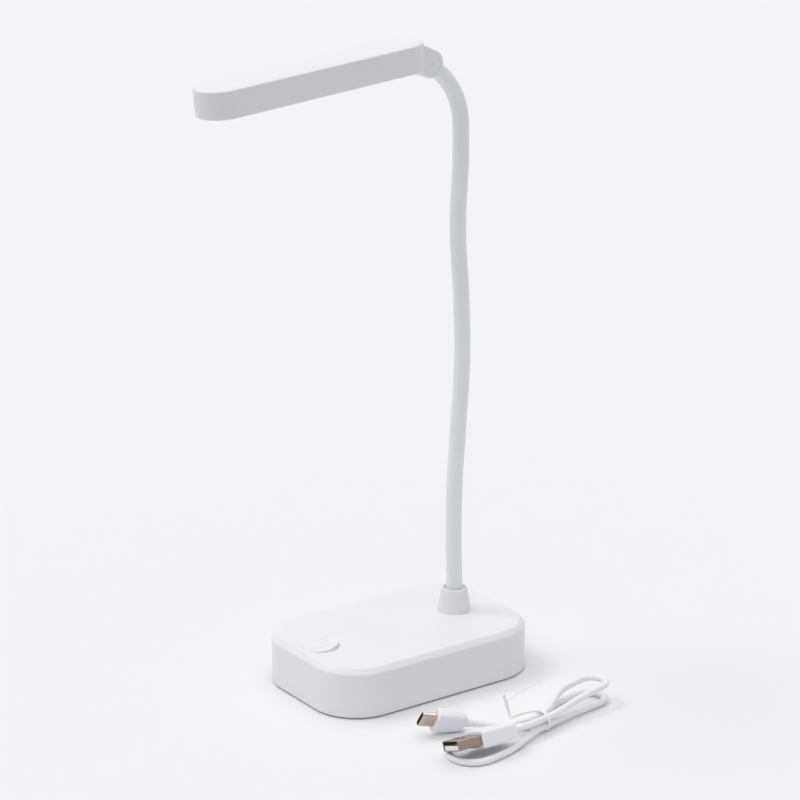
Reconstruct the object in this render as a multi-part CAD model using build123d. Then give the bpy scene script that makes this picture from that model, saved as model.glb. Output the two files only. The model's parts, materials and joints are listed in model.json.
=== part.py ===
"""Rechargeable desk lamp: weighted base, bendable neck, tilting bar-shaped head and a tied charging cable.

Millimetres. The origin is on the table under the middle of the base, +Z is up and -Y is the front,
where the button is and where the head points. Each function below makes one piece or a few that belong
together, and the last section writes one file per piece.
"""
import os
from math import cos, pi, radians, sin

from build123d import *

# Base
BASE_LENGTH = 110.0
BASE_WIDTH = 72.5
BASE_HEIGHT = 23.3
BASE_CORNER = 22.0
BASE_BEVEL = 2.5
BASE_WALL = 2.2
BASE_ROOF = 2.4
PAD_THICKNESS = 0.8
PAD_INSET = 3.5
COVER_THICKNESS = 2.0
COVER_GAP = 0.15
FIT = 0.05

# Screws that hold the cover to the bosses of the shell
COVER_SCREW_SIDE_INSET = 11.25
COVER_SCREW_END_INSET = 12.0
BOSS_RADIUS = 3.2
SCREW_RADIUS = 1.25
SCREW_HEAD_RADIUS = 2.4
SCREW_HEAD_HEIGHT = 1.2
SCREW_LENGTH = 9.0

# Ballast, battery and its cradle
BALLAST_SIDE_INSET = 6.25
BALLAST_CRADLE_GAP = 3.65
BALLAST_FRONT_GAP = 8.0
BALLAST_BACK_GAP = 2.55
BALLAST_THICKNESS = 5.0
BALLAST_CORNER = 4.0
PEG_RADIUS = 1.5
PEG_INSET = 8.0
PEG_GAP = 0.2
CELL_HEADROOM = 2.6
CELL_LENGTH = 49.0
CELL_SIDE_INSET = 16.0
CELL_BACK_INSET = 44.0
CELL_CAP_RADIUS = 2.75
CELL_CAP_HEIGHT = 1.0
CRADLE_FLOOR = 1.2
CRADLE_WALL = 1.4
CRADLE_DROP = 1.0
CELL_GAP = 0.1

# Button and the push switch under it
BUTTON_INSET = 12.0
BUTTON_RADIUS = 8.25
BUTTON_GAP = 0.25
BUTTON_FRONT_RISE = 0.1
BUTTON_BACK_RISE = 2.1
BUTTON_EDGE = 0.35
BUTTON_TRAVEL = 0.5
FLANGE_RADIUS = 9.3
FLANGE_THICKNESS = 1.2
STEM_RADIUS = 2.0
SWITCH_SIZE = 6.0
SWITCH_HEIGHT = 3.6
PLUNGER_RADIUS = 1.7
PLUNGER_RISE = 0.9
PLUNGER_DEPTH = 2.4

# Control board, hung from two bosses of the shell
BOARD_WIDTH = 26.0
BOARD_LENGTH = 28.0
BOARD_INSET = 5.0
BOARD_DROP = 8.5
BOARD_THICKNESS = 1.2
BOARD_BOSS_X = 9.5
BOARD_BOSS_INSET = 5.0
BOARD_BOSS_RADIUS = 2.6
BOARD_SCREW_RADIUS = 1.0
BOARD_SCREW_HEAD = 1.9
BOARD_SCREW_LENGTH = 6.0

# Charging socket and its board at the back wall
SOCKET_WIDTH = 9.0
SOCKET_HEIGHT = 3.2
SOCKET_DEPTH = 7.3
SOCKET_WALL = 0.3
SOCKET_Z = 9.0
SOCKET_RECESS = 0.8
SOCKET_TONGUE = (6.7, 0.7, 4.6)
PORT_GAP = 0.25
CHARGE_BOARD_WIDTH = 18.0
CHARGE_BOARD_DEPTH = 12.0
CHARGE_BOARD_THICKNESS = 1.2
POST_RADIUS = 2.2
POST_X = 6.5

# Neck: fixed root, then equal links, each one arc. Turns lean the neck back (+) or forward (-).
NECK_INSET = 24.1
NECK_RADIUS = 3.65
NECK_RISE = 16.7
NECK_LEAN = -3.3
NECK_LINK_LENGTH = 29.9
NECK_TURNS = (4.2, 3.4, -0.4, -6.3, -2.6, 9.5, -6.8, -54.8)
BALL_RADIUS = 2.9
BALL_GAP = 0.1
LINK_GROOVE = 1.3
ROOT_FLANGE_RADIUS = 5.2
ROOT_FLANGE_HEIGHT = 2.0
ROOT_LENGTH_BELOW = 11.0
ROOT_GAP = 0.2
WASHER_RADIUS = 7.0
WASHER_THICKNESS = 1.0
NUT_ACROSS_FLATS = 12.0
NUT_HEIGHT = 5.0
COLLAR_FOOT_RADIUS = 7.7
COLLAR_TOP_RADIUS = 5.95
COLLAR_HEIGHT = 11.0
COLLAR_RIM = 0.9
COLLAR_RECESS = 1.2

# Hinge between the neck's tongue and the head's fork
PIN_REACH = 5.5
PIN_RADIUS = 1.0
PIN_GAP = 0.04
PIN_SINK = 0.6
PIN_DIMPLE_RADIUS = 1.6
EYE_RADIUS = 2.6
EYE_THICKNESS = 4.6
EYE_GAP = 0.3
SHANK_HEIGHT = 4.2
FORK_RADIUS = 5.2
FORK_WIDTH = 10.0
FORK_TOP = 11.0
FORK_FOOT = 0.6

# Head, in its own level frame with the pin as reference, then tilted
HEAD_LENGTH = 110.0
HEAD_WIDTH = 23.0
HEAD_HEIGHT = 12.7
HEAD_TILT = 5.5
HEAD_EDGE = 2.4
HEAD_LOWER_EDGE = 0.7
HEAD_WALL = 1.6
HEAD_ROOF = 1.8
PIN_BACK = 2.9
PIN_RISE = 1.0
DIFFUSER_THICKNESS = 1.8
DIFFUSER_GAP = 0.1
LIGHT_BOARD_INSET = 9.0
LIGHT_BOARD_WIDTH = 14.0
LIGHT_BOARD_THICKNESS = 1.0
LIGHT_BOARD_TOP = 7.0
LIGHT_BOSS_RADIUS = 2.4
LIGHT_BOSS_INSET = 25.0
LIGHT_SCREW_RADIUS = 0.9
LIGHT_SCREW_HEAD = 1.7
LIGHT_SCREW_LENGTH = 4.0
CHIP_END_INSET = 7.0
CHIP_PITCH = 6.0
CHIP_SIZE = (2.8, 3.5, 0.7)
CHIP_LINE = 3.2
FORK_SCREW_X = 3.2
FORK_SCREW_Z = 7.6
FORK_SCREW_RADIUS = 0.9
FORK_SCREW_HEAD = 1.6
FORK_SCREW_LENGTH = 4.6

# Charging cable
CORD_RADIUS = 1.5
HANK_CENTRE = (87.5, 13.7)
HANK_HEADING = 7.0
HANK_STEP = 3.6
HANK_LOW = 2.75
LEG_STEPS = 3
LEAD_POINTS = ((74.1, -2.0, 1.6), (82.2, 6.0, 1.8))
SMALL_PLUG = dict(mouth=(63.0, -33.8, 8.9), heading=-17.6, climb=-12.5, roll=-58.8)
SMALL_SHELL = (8.3, 2.5, 6.6)
SMALL_SHELL_WALL = 0.3
SMALL_MOULD_FRONT = (12.0, 6.4)
SMALL_MOULD_BACK = (9.0, 5.0)
SMALL_MOULD_LENGTH = 14.0
SMALL_RELIEF_LENGTH = 5.6
LARGE_PLUG = dict(mouth=(90.7, -38.0, 7.6), heading=-2.2, climb=-0.5, roll=-21.9)
LARGE_SHELL = (12.0, 4.5, 12.0)
LARGE_SHELL_WALL = 0.35
LARGE_INSERT_THICKNESS = 1.9
LARGE_MOULD_FRONT = (15.4, 7.6)
LARGE_MOULD_BACK = (11.6, 6.4)
LARGE_MOULD_LENGTH = 19.0
LARGE_RELIEF_LENGTH = 6.5
RELIEF_RADIUS = 2.1
SMALL_MOULD_EDGE = 2.1
LARGE_MOULD_EDGE = 1.6
TIE_WIRE_RADIUS = 0.45
TIE_GAP = 0.3

# Places worked out from the sizes above
SHELL_FOOT = PAD_THICKNESS
CEILING = BASE_HEIGHT - BASE_ROOF
COVER_TOP = SHELL_FOOT + COVER_THICKNESS
BOARD_TOP = CEILING - BOARD_DROP
NECK_START = BASE_HEIGHT + NECK_RISE
CELL_LOW = COVER_TOP + CRADLE_FLOOR + CELL_GAP
CELL_RADIUS = (CEILING - CELL_HEADROOM - CELL_LOW) / 2
UP = (Align.CENTER, Align.CENTER, Align.MIN)
DOWN = (Align.CENTER, Align.CENTER, Align.MAX)
SIDE, BACK, FRONT = BASE_WIDTH / 2, BASE_LENGTH / 2, -BASE_LENGTH / 2
NECK_Y = BACK - NECK_INSET
BUTTON_Y = FRONT + BUTTON_INSET
COVER_SCREWS = [(x * (SIDE - COVER_SCREW_SIDE_INSET), y * (BACK - COVER_SCREW_END_INSET))
                for x in (-1, 1) for y in (-1, 1)]
BOARD_FRONT = FRONT + BOARD_INSET
BOARD_BACK = BOARD_FRONT + BOARD_LENGTH
BOARD_SCREWS = [(x, BOARD_BACK - BOARD_BOSS_INSET) for x in (-BOARD_BOSS_X, BOARD_BOSS_X)]
CHARGE_BOARD_BACK = BACK - BASE_WALL - PORT_GAP
CHARGE_BOARD_FRONT = CHARGE_BOARD_BACK - CHARGE_BOARD_DEPTH
CELL_CENTRE = (SIDE - CELL_SIDE_INSET, BACK - CELL_BACK_INSET)
CRADLE_HALF = CELL_RADIUS + CELL_GAP + CRADLE_WALL
BALLAST_LEFT = -SIDE + BALLAST_SIDE_INSET
BALLAST_RIGHT = CELL_CENTRE[0] - CRADLE_HALF - BALLAST_CRADLE_GAP
BALLAST_FRONT = BOARD_BACK + BALLAST_FRONT_GAP
BALLAST_BACK = CHARGE_BOARD_FRONT - BALLAST_BACK_GAP
BALLAST_CENTRE = ((BALLAST_LEFT + BALLAST_RIGHT) / 2, (BALLAST_FRONT + BALLAST_BACK) / 2)
PEGS = [(BALLAST_CENTRE[0], y) for y in (BALLAST_FRONT + PEG_INSET, BALLAST_BACK - PEG_INSET)]
LIGHT_BOARD_LENGTH = HEAD_LENGTH - 2 * LIGHT_BOARD_INSET
LIGHT_BOSS_SPACING = HEAD_LENGTH - 2 * LIGHT_BOSS_INSET
CHIP_COUNT = round((LIGHT_BOARD_LENGTH - 2 * CHIP_END_INSET) / CHIP_PITCH) + 1


def slab(width, length, corner, low, high):
    """Upright plate with rounded corners between two heights."""
    return Pos(0, 0, low) * extrude(RectangleRounded(width, length, corner), high - low)


def rod(x, y, low, high, radius):
    """Upright cylinder between two heights."""
    return Pos(x, y, low) * Cylinder(radius, high - low, align=UP)


def base_outline(inset, low, high):
    """Plate of the base's outline, drawn in by an inset."""
    return slab(BASE_WIDTH - 2 * inset, BASE_LENGTH - 2 * inset, BASE_CORNER - inset, low, high)


def base_shell():
    """Hollow top shell with bosses, the button's hole, the neck's hole and the charging port."""
    outer = base_outline(0, SHELL_FOOT, BASE_HEIGHT)
    outer = chamfer(outer.faces().sort_by(Axis.Z)[-1].edges(), BASE_BEVEL)
    shell = outer - base_outline(BASE_WALL, SHELL_FOOT, CEILING)
    for x, y in COVER_SCREWS:
        shell += rod(x, y, COVER_TOP, CEILING, BOSS_RADIUS)
        shell -= rod(x, y, COVER_TOP, COVER_TOP + SCREW_LENGTH, SCREW_RADIUS + FIT)
    for x, y in BOARD_SCREWS:
        shell += rod(x, y, BOARD_TOP, CEILING, BOARD_BOSS_RADIUS)
        shell -= rod(x, y, BOARD_TOP, BOARD_TOP + BOARD_SCREW_LENGTH, BOARD_SCREW_RADIUS + FIT)
    shell -= rod(0, BUTTON_Y, CEILING, BASE_HEIGHT, BUTTON_RADIUS + BUTTON_GAP)
    shell -= rod(0, NECK_Y, CEILING, BASE_HEIGHT, NECK_RADIUS + ROOT_GAP)
    port_height = SOCKET_HEIGHT + 2 * PORT_GAP
    port = RectangleRounded(SOCKET_WIDTH + 2 * PORT_GAP, port_height, port_height * 0.45)
    port = extrude(Plane.XZ * port, -2 * BASE_WALL)
    return shell - Pos(0, BACK - 1.5 * BASE_WALL, SOCKET_Z) * port


def base_cover():
    """Plate that closes the base, with pegs for the ballast and posts for the charging board."""
    cover = base_outline(BASE_WALL + COVER_GAP, SHELL_FOOT, COVER_TOP)
    for x, y in COVER_SCREWS:
        cover -= rod(x, y, SHELL_FOOT, COVER_TOP, SCREW_RADIUS + FIT)
        cover -= rod(x, y, SHELL_FOOT, SHELL_FOOT + SCREW_HEAD_HEIGHT, SCREW_HEAD_RADIUS + FIT)
    for x, y in PEGS:
        cover += rod(x, y, COVER_TOP, COVER_TOP + BALLAST_THICKNESS, PEG_RADIUS)
    for x in (-POST_X, POST_X):
        cover += rod(x, charge_board_middle(), COVER_TOP, charge_board_low(), POST_RADIUS)
    return cover


def cover_screws():
    """Four screws, their heads sunk in the cover and hidden by the pad."""
    return [rod(x, y, SHELL_FOOT, SHELL_FOOT + SCREW_HEAD_HEIGHT, SCREW_HEAD_RADIUS)
            + rod(x, y, SHELL_FOOT, COVER_TOP + SCREW_LENGTH - 1, SCREW_RADIUS) for x, y in COVER_SCREWS]


def ballast_plate():
    """Steel weight on the cover, located by two pegs."""
    top = COVER_TOP + BALLAST_THICKNESS
    plate = slab(BALLAST_RIGHT - BALLAST_LEFT, BALLAST_BACK - BALLAST_FRONT, BALLAST_CORNER, COVER_TOP, top)
    plate = Pos(*BALLAST_CENTRE) * plate
    for x, y in PEGS:
        plate -= rod(x, y, COVER_TOP, top, PEG_RADIUS + PEG_GAP)
    return plate


def lying_rod(centre, middle_z, length, radius):
    """Cylinder that lies along Y."""
    return Pos(centre[0], centre[1], middle_z) * Rot(90, 0, 0) * Cylinder(radius, length)


def cell_height():
    """Height of the battery cell's axis."""
    return CELL_LOW + CELL_RADIUS


def battery_cell():
    """Round cell with its raised contact."""
    cap = (CELL_CENTRE[0], CELL_CENTRE[1] + CELL_LENGTH / 2)
    return (lying_rod(CELL_CENTRE, cell_height(), CELL_LENGTH, CELL_RADIUS)
            + lying_rod(cap, cell_height(), 2 * CELL_CAP_HEIGHT, CELL_CAP_RADIUS))


def battery_cradle():
    """Trough that the cell lies in, stood on the cover."""
    height = cell_height() - CRADLE_DROP - COVER_TOP
    block = Box(2 * CRADLE_HALF, CELL_LENGTH - 2 * CRADLE_WALL, height, align=UP)
    block = Pos(CELL_CENTRE[0], CELL_CENTRE[1], COVER_TOP) * block
    return block - lying_rod(CELL_CENTRE, cell_height(), 2 * CELL_LENGTH, CELL_RADIUS + CELL_GAP)


def power_button():
    """Button whose top slopes up to the back, with a flange under the roof and a stem to the switch."""
    flange_low, above = CEILING - FIT - FLANGE_THICKNESS, BASE_HEIGHT + 3 * BUTTON_BACK_RISE
    cap = rod(0, BUTTON_Y, flange_low, BASE_HEIGHT + 2 * BUTTON_BACK_RISE, BUTTON_RADIUS)
    front, back = BUTTON_Y - BUTTON_RADIUS, BUTTON_Y + BUTTON_RADIUS
    slope = Polygon((front, BASE_HEIGHT + BUTTON_FRONT_RISE), (back, BASE_HEIGHT + BUTTON_BACK_RISE),
                    (back, above), (front, above), align=None)
    cap -= extrude(Plane.YZ * slope, 2 * BUTTON_RADIUS, both=True)
    cap = fillet(cap.faces().sort_by(Axis.Z)[-1].edges(), BUTTON_EDGE)
    cap += rod(0, BUTTON_Y, flange_low, CEILING - FIT, FLANGE_RADIUS)
    stem_low = BOARD_TOP + SWITCH_HEIGHT + PLUNGER_RISE
    return cap + rod(0, BUTTON_Y, stem_low, CEILING - FLANGE_THICKNESS, STEM_RADIUS)


def tact_switch():
    """Push switch on the board, bored for its plunger."""
    body = Pos(0, BUTTON_Y, BOARD_TOP) * Box(SWITCH_SIZE, SWITCH_SIZE, SWITCH_HEIGHT, align=UP)
    low = BOARD_TOP + SWITCH_HEIGHT - PLUNGER_DEPTH - 2 * BUTTON_TRAVEL
    return body - rod(0, BUTTON_Y, low, BOARD_TOP + SWITCH_HEIGHT, PLUNGER_RADIUS + FIT)


def switch_plunger():
    """Plunger that the button's stem pushes into the switch."""
    top = BOARD_TOP + SWITCH_HEIGHT
    return rod(0, BUTTON_Y, top - PLUNGER_DEPTH, top + PLUNGER_RISE, PLUNGER_RADIUS)


def control_board():
    """Board under the button, held to two bosses of the shell."""
    board = Pos(0, (BOARD_FRONT + BOARD_BACK) / 2, BOARD_TOP) * Box(
        BOARD_WIDTH, BOARD_BACK - BOARD_FRONT, BOARD_THICKNESS, align=DOWN)
    for x, y in BOARD_SCREWS:
        board -= rod(x, y, BOARD_TOP - BOARD_THICKNESS, BOARD_TOP, BOARD_SCREW_RADIUS + FIT)
    return board


def board_screws():
    """Two screws from below the control board."""
    low, tip = BOARD_TOP - BOARD_THICKNESS, BOARD_TOP + BOARD_SCREW_LENGTH - 1
    return [rod(x, y, low - BOARD_SCREW_RADIUS, low, BOARD_SCREW_HEAD)
            + rod(x, y, low, tip, BOARD_SCREW_RADIUS) for x, y in BOARD_SCREWS]


def charge_board_low():
    """Height of the charging board's underside."""
    return SOCKET_Z - SOCKET_HEIGHT / 2 - CHARGE_BOARD_THICKNESS


def charge_board_middle():
    """Middle of the charging board along Y, just inside the back wall."""
    return (CHARGE_BOARD_FRONT + CHARGE_BOARD_BACK) / 2


def charge_board():
    """Small board on two posts that carries the charging socket."""
    return Pos(0, charge_board_middle(), charge_board_low()) * Box(
        CHARGE_BOARD_WIDTH, CHARGE_BOARD_DEPTH, CHARGE_BOARD_THICKNESS, align=UP)


def charge_socket():
    """Charging socket: an oval can with a tongue, open at the back of the lamp."""
    face = BACK - SOCKET_RECESS
    can = RectangleRounded(SOCKET_WIDTH, SOCKET_HEIGHT, SOCKET_HEIGHT * 0.45)
    can = extrude(Plane.XZ * can, SOCKET_DEPTH)
    bore_height = SOCKET_HEIGHT - 2 * SOCKET_WALL
    bore = RectangleRounded(SOCKET_WIDTH - 2 * SOCKET_WALL, bore_height, bore_height * 0.45)
    can -= extrude(Plane.XZ * bore, SOCKET_DEPTH - 1)
    width, height, reach = SOCKET_TONGUE
    can += Pos(0, -SOCKET_DEPTH + 0.5, 0) * Box(width, reach + 0.5, height,
                                               align=(Align.CENTER, Align.MIN, Align.CENTER))
    return Pos(0, face, SOCKET_Z) * can


def neck_collar():
    """Cone at the foot of the neck with a rim and a recess round the sleeve."""
    cone = Cone(COLLAR_FOOT_RADIUS, COLLAR_TOP_RADIUS, COLLAR_HEIGHT, align=UP)
    cone = Pos(0, NECK_Y, BASE_HEIGHT) * cone
    top, flange_top = BASE_HEIGHT + COLLAR_HEIGHT, BASE_HEIGHT + ROOT_FLANGE_HEIGHT + FIT
    cone -= rod(0, NECK_Y, BASE_HEIGHT, top, NECK_RADIUS + ROOT_GAP)
    cone -= rod(0, NECK_Y, top - COLLAR_RECESS, top, COLLAR_TOP_RADIUS - COLLAR_RIM)
    return cone - rod(0, NECK_Y, BASE_HEIGHT, flange_top, ROOT_FLANGE_RADIUS + FIT)


def neck_root():
    """Fixed foot of the neck: stud through the roof, flange on the roof and the first ball."""
    root = rod(0, NECK_Y, BASE_HEIGHT - ROOT_LENGTH_BELOW, NECK_START, NECK_RADIUS)
    root += rod(0, NECK_Y, BASE_HEIGHT, BASE_HEIGHT + ROOT_FLANGE_HEIGHT, ROOT_FLANGE_RADIUS)
    return root + Pos(0, NECK_Y, NECK_START) * Sphere(BALL_RADIUS)


def neck_washer():
    """Washer under the roof."""
    return (rod(0, NECK_Y, CEILING - WASHER_THICKNESS, CEILING, WASHER_RADIUS)
            - rod(0, NECK_Y, CEILING - WASHER_THICKNESS, CEILING, NECK_RADIUS + FIT))


def neck_nut():
    """Hexagon nut that clamps the root to the roof."""
    high = CEILING - WASHER_THICKNESS
    low = high - NUT_HEIGHT
    nut = extrude(RegularPolygon(NUT_ACROSS_FLATS / 2, 6, major_radius=False), NUT_HEIGHT)
    return Pos(0, NECK_Y, low) * nut - rod(0, NECK_Y, low, high, NECK_RADIUS + FIT)


def neck_stations():
    """Start point and lean of each link, and those of the neck's end, in the plane X = 0."""
    stations = [(NECK_Y, NECK_START, NECK_LEAN)]
    for turn in NECK_TURNS:
        y, z, lean = stations[-1]
        chord = NECK_LINK_LENGTH * (sin(radians(turn) / 2) / (radians(turn) / 2) if turn else 1.0)
        along = radians(lean + turn / 2)
        stations.append((y + chord * sin(along), z + chord * cos(along), lean + turn))
    return stations


def lean_vector(lean):
    """Unit vector up the neck at a lean from the vertical."""
    return Vector(0, sin(radians(lean)), cos(radians(lean)))


def neck_link(start, end, last):
    """One link: an arc of sleeve with a socket at its foot and a ball at its top."""
    foot, top = Vector(0, *start[:2]), Vector(0, *end[:2])
    path = Edge.make_tangent_arc(foot, lean_vector(start[2]), top)
    link = sweep(Plane(foot, z_dir=lean_vector(start[2])) * Circle(NECK_RADIUS), path=path)
    groove = Plane(foot, z_dir=lean_vector(start[2])) * Cylinder(2 * NECK_RADIUS, LINK_GROOVE, align=UP)
    link = link - groove - Pos(*foot) * Sphere(BALL_RADIUS + BALL_GAP)
    return link if last else link + Pos(*top) * Sphere(BALL_RADIUS)


def hinge_point():
    """Middle of the hinge pin."""
    y, z, lean = neck_stations()[-1]
    return Vector(0, y, z) + lean_vector(lean) * PIN_REACH


def neck_tongue():
    """Eye on the hinge pin and the shank that joins it to the last link."""
    lean = neck_stations()[-1][2]
    frame = Plane(hinge_point(), x_dir=(1, 0, 0), z_dir=lean_vector(lean))
    shank = frame * Box(EYE_THICKNESS, SHANK_HEIGHT, PIN_REACH, align=DOWN)
    eye = Pos(*hinge_point()) * Rot(0, 90, 0) * Cylinder(EYE_RADIUS, EYE_THICKNESS)
    bore = Pos(*hinge_point()) * Rot(0, 90, 0) * Cylinder(PIN_RADIUS + PIN_GAP, FORK_WIDTH)
    return shank + eye - bore


def head_place():
    """Location of the head's level frame: its origin is the pin, with -Y towards the tip."""
    return Pos(*hinge_point()) * Rot(HEAD_TILT, 0, 0)


def head_bar(inset, low, high):
    """Bar with round ends in the head's frame, drawn in by an inset, between heights over the underside."""
    width, length = HEAD_WIDTH - 2 * inset, HEAD_LENGTH - 2 * inset
    bar = extrude(SlotOverall(length, width, rotation=90), high - low)
    return Pos(0, -PIN_BACK - HEAD_LENGTH / 2, low - PIN_RISE) * bar


def head_rod(x, y, low, high, radius):
    """Upright cylinder in the head's frame, placed from the middle of the bar and the underside."""
    return Pos(0, -PIN_BACK - HEAD_LENGTH / 2, -PIN_RISE) * rod(x, y, low, high, radius)


def head_housing():
    """Upper shell of the head with bosses for the light board."""
    bar = head_bar(0, 0, HEAD_HEIGHT)
    bar = fillet(bar.faces().sort_by(Axis.Z)[-1].edges(), HEAD_EDGE)
    bar = fillet(bar.faces().sort_by(Axis.Z)[0].edges(), HEAD_LOWER_EDGE)
    shell = bar - head_bar(HEAD_WALL, 0, HEAD_HEIGHT - HEAD_ROOF)
    for y in (-LIGHT_BOSS_SPACING / 2, LIGHT_BOSS_SPACING / 2):
        shell += head_rod(0, y, LIGHT_BOARD_TOP, HEAD_HEIGHT - HEAD_ROOF, LIGHT_BOSS_RADIUS)
        shell -= head_rod(0, y, LIGHT_BOARD_TOP, LIGHT_BOARD_TOP + LIGHT_SCREW_LENGTH - 1,
                          LIGHT_SCREW_RADIUS + FIT)
    for screw in fork_screw_holes(FORK_SCREW_RADIUS + FIT):
        shell -= screw
    return shell


def head_diffuser():
    """Milky window that closes the underside."""
    return head_bar(HEAD_WALL + DIFFUSER_GAP, 0, DIFFUSER_THICKNESS)


def light_board():
    """Strip that carries the light chips."""
    middle = Pos(0, -PIN_BACK - HEAD_LENGTH / 2, LIGHT_BOARD_TOP - PIN_RISE)
    board = middle * Box(LIGHT_BOARD_WIDTH, LIGHT_BOARD_LENGTH, LIGHT_BOARD_THICKNESS, align=DOWN)
    for y in (-LIGHT_BOSS_SPACING / 2, LIGHT_BOSS_SPACING / 2):
        board -= head_rod(0, y, LIGHT_BOARD_TOP - LIGHT_BOARD_THICKNESS, LIGHT_BOARD_TOP,
                          LIGHT_SCREW_RADIUS + FIT)
    return board


def light_chips():
    """Two rows of light chips under the light board."""
    low = LIGHT_BOARD_TOP - LIGHT_BOARD_THICKNESS - PIN_RISE
    middle = -PIN_BACK - HEAD_LENGTH / 2
    width, length, height = CHIP_SIZE
    rows = [middle + (i - (CHIP_COUNT - 1) / 2) * CHIP_PITCH for i in range(CHIP_COUNT)]
    chip = Box(width, length, height, align=DOWN)
    return [Pos(x, y, low) * chip for y in rows for x in (-CHIP_LINE, CHIP_LINE)]


def light_screws():
    """Two screws that hold the light board to its bosses."""
    low = LIGHT_BOARD_TOP - LIGHT_BOARD_THICKNESS
    return [head_rod(0, y, low - LIGHT_SCREW_RADIUS, low, LIGHT_SCREW_HEAD)
            + head_rod(0, y, low, LIGHT_BOARD_TOP + LIGHT_SCREW_LENGTH - 1.5, LIGHT_SCREW_RADIUS)
            for y in (-LIGHT_BOSS_SPACING / 2, LIGHT_BOSS_SPACING / 2)]


def fork_screw_holes(radius):
    """Round bars along the two fork screws, from inside the head into the fork."""
    start = -PIN_BACK - 2 * HEAD_WALL
    bar = Rot(-90, 0, 0) * Cylinder(radius, FORK_SCREW_LENGTH + HEAD_WALL, align=UP)
    return [Pos(x, start, FORK_SCREW_Z - PIN_RISE) * bar for x in (-FORK_SCREW_X, FORK_SCREW_X)]


def fork_screws():
    """Two screws through the head's end wall into the fork."""
    inner = -PIN_BACK - HEAD_WALL
    end_radius = HEAD_WIDTH / 2 - HEAD_WALL
    end_drop = end_radius - (end_radius ** 2 - (FORK_SCREW_X + FORK_SCREW_HEAD) ** 2) ** 0.5
    screws = []
    for x in (-FORK_SCREW_X, FORK_SCREW_X):
        head = Rot(-90, 0, 0) * Cylinder(FORK_SCREW_HEAD, FORK_SCREW_RADIUS, align=DOWN)
        shank = Rot(-90, 0, 0) * Cylinder(FORK_SCREW_RADIUS, FORK_SCREW_LENGTH, align=UP)
        screws.append(Pos(x, inner - end_drop, FORK_SCREW_Z - PIN_RISE) * (head + shank))
    return screws


def head_fork():
    """Knuckle behind the head: two cheeks round the pin, seated on the head's round end."""
    seat = Pos(-PIN_BACK - 1, (FORK_TOP + FORK_FOOT) / 2 - PIN_RISE) * Rectangle(2, FORK_TOP - FORK_FOOT)
    cheek = make_hull(Circle(FORK_RADIUS).edges() + seat.edges())
    fork = extrude(Plane.YZ * cheek, FORK_WIDTH / 2, both=True)
    fork -= head_bar(0, -HEAD_HEIGHT, 2 * HEAD_HEIGHT)
    clear = EYE_RADIUS + EYE_GAP
    slot = Box(EYE_THICKNESS + 2 * EYE_GAP, 4 * FORK_RADIUS, 4 * FORK_RADIUS,
               align=(Align.CENTER, Align.MIN, Align.MAX))
    fork -= Pos(0, -clear, clear) * slot
    pin_hole = Rot(0, 90, 0) * Cylinder(PIN_RADIUS, 2 * FORK_WIDTH)
    fork -= pin_hole
    for side in (-1, 1):
        fork -= Pos(side * FORK_WIDTH / 2, 0, 0) * Rot(0, 90, 0) * Cylinder(PIN_DIMPLE_RADIUS, 2 * PIN_SINK)
    for screw in fork_screw_holes(FORK_SCREW_RADIUS + FIT):
        fork -= screw
    return fork


def hinge_pin():
    """Pin through both cheeks, its ends sunk in the dimples."""
    return Rot(0, 90, 0) * Cylinder(PIN_RADIUS, FORK_WIDTH - 2 * PIN_SINK)


def plug_place(mouth, heading, climb, roll):
    """Location of a plug: origin in its mouth, +Y towards its tail."""
    return Pos(*mouth) * Rot(0, 0, heading) * Rot(climb, 0, 0) * Rot(0, roll, 0)


def oval_can(size, wall, corner):
    """Plug shell: a rounded can along +Y with its mouth at the origin."""
    width, height, length = size
    can = extrude(Plane.XZ * RectangleRounded(width, height, corner), -length)
    bore = RectangleRounded(width - 2 * wall, height - 2 * wall, corner - wall)
    return can - extrude(Plane.XZ * bore, -(length - 1))


def moulding(front, back, start, length, edge):
    """Tapered overmould between two rounded sections along +Y."""
    sections = [Plane.XZ.offset(-start) * RectangleRounded(*front, edge),
                Plane.XZ.offset(-start - length) * RectangleRounded(*back, edge)]
    return loft(sections)


def relief(start, length):
    """Tapered strain relief along +Y, from the overmould to the cord."""
    return Pos(0, start, 0) * Rot(-90, 0, 0) * Cone(RELIEF_RADIUS, CORD_RADIUS, length, align=UP)


def plug_tail(plug, length):
    """Point and direction where the cord leaves a plug's strain relief."""
    place = plug_place(**plug)
    tail, mouth = (place * Pos(0, length, 0)).position, place.position
    return tail, (tail - mouth).normalized()


def small_length():
    """Length of the small plug with its relief."""
    return SMALL_SHELL[2] + SMALL_MOULD_LENGTH + SMALL_RELIEF_LENGTH


def large_length():
    """Length of the large plug with its relief."""
    return LARGE_SHELL[2] + LARGE_MOULD_LENGTH + LARGE_RELIEF_LENGTH


def hank_point(along, side, height):
    """Point in the hank's frame: along its axis to the back, to its right, and up."""
    turn = radians(HANK_HEADING)
    return Vector(HANK_CENTRE[0] - along * sin(turn) + side * cos(turn),
                  HANK_CENTRE[1] + along * cos(turn) + side * sin(turn), height)


def ease(share):
    """Smooth step from 0 to 1."""
    share = min(1.0, max(0.0, share))
    return share * share * (3 - 2 * share)


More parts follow.
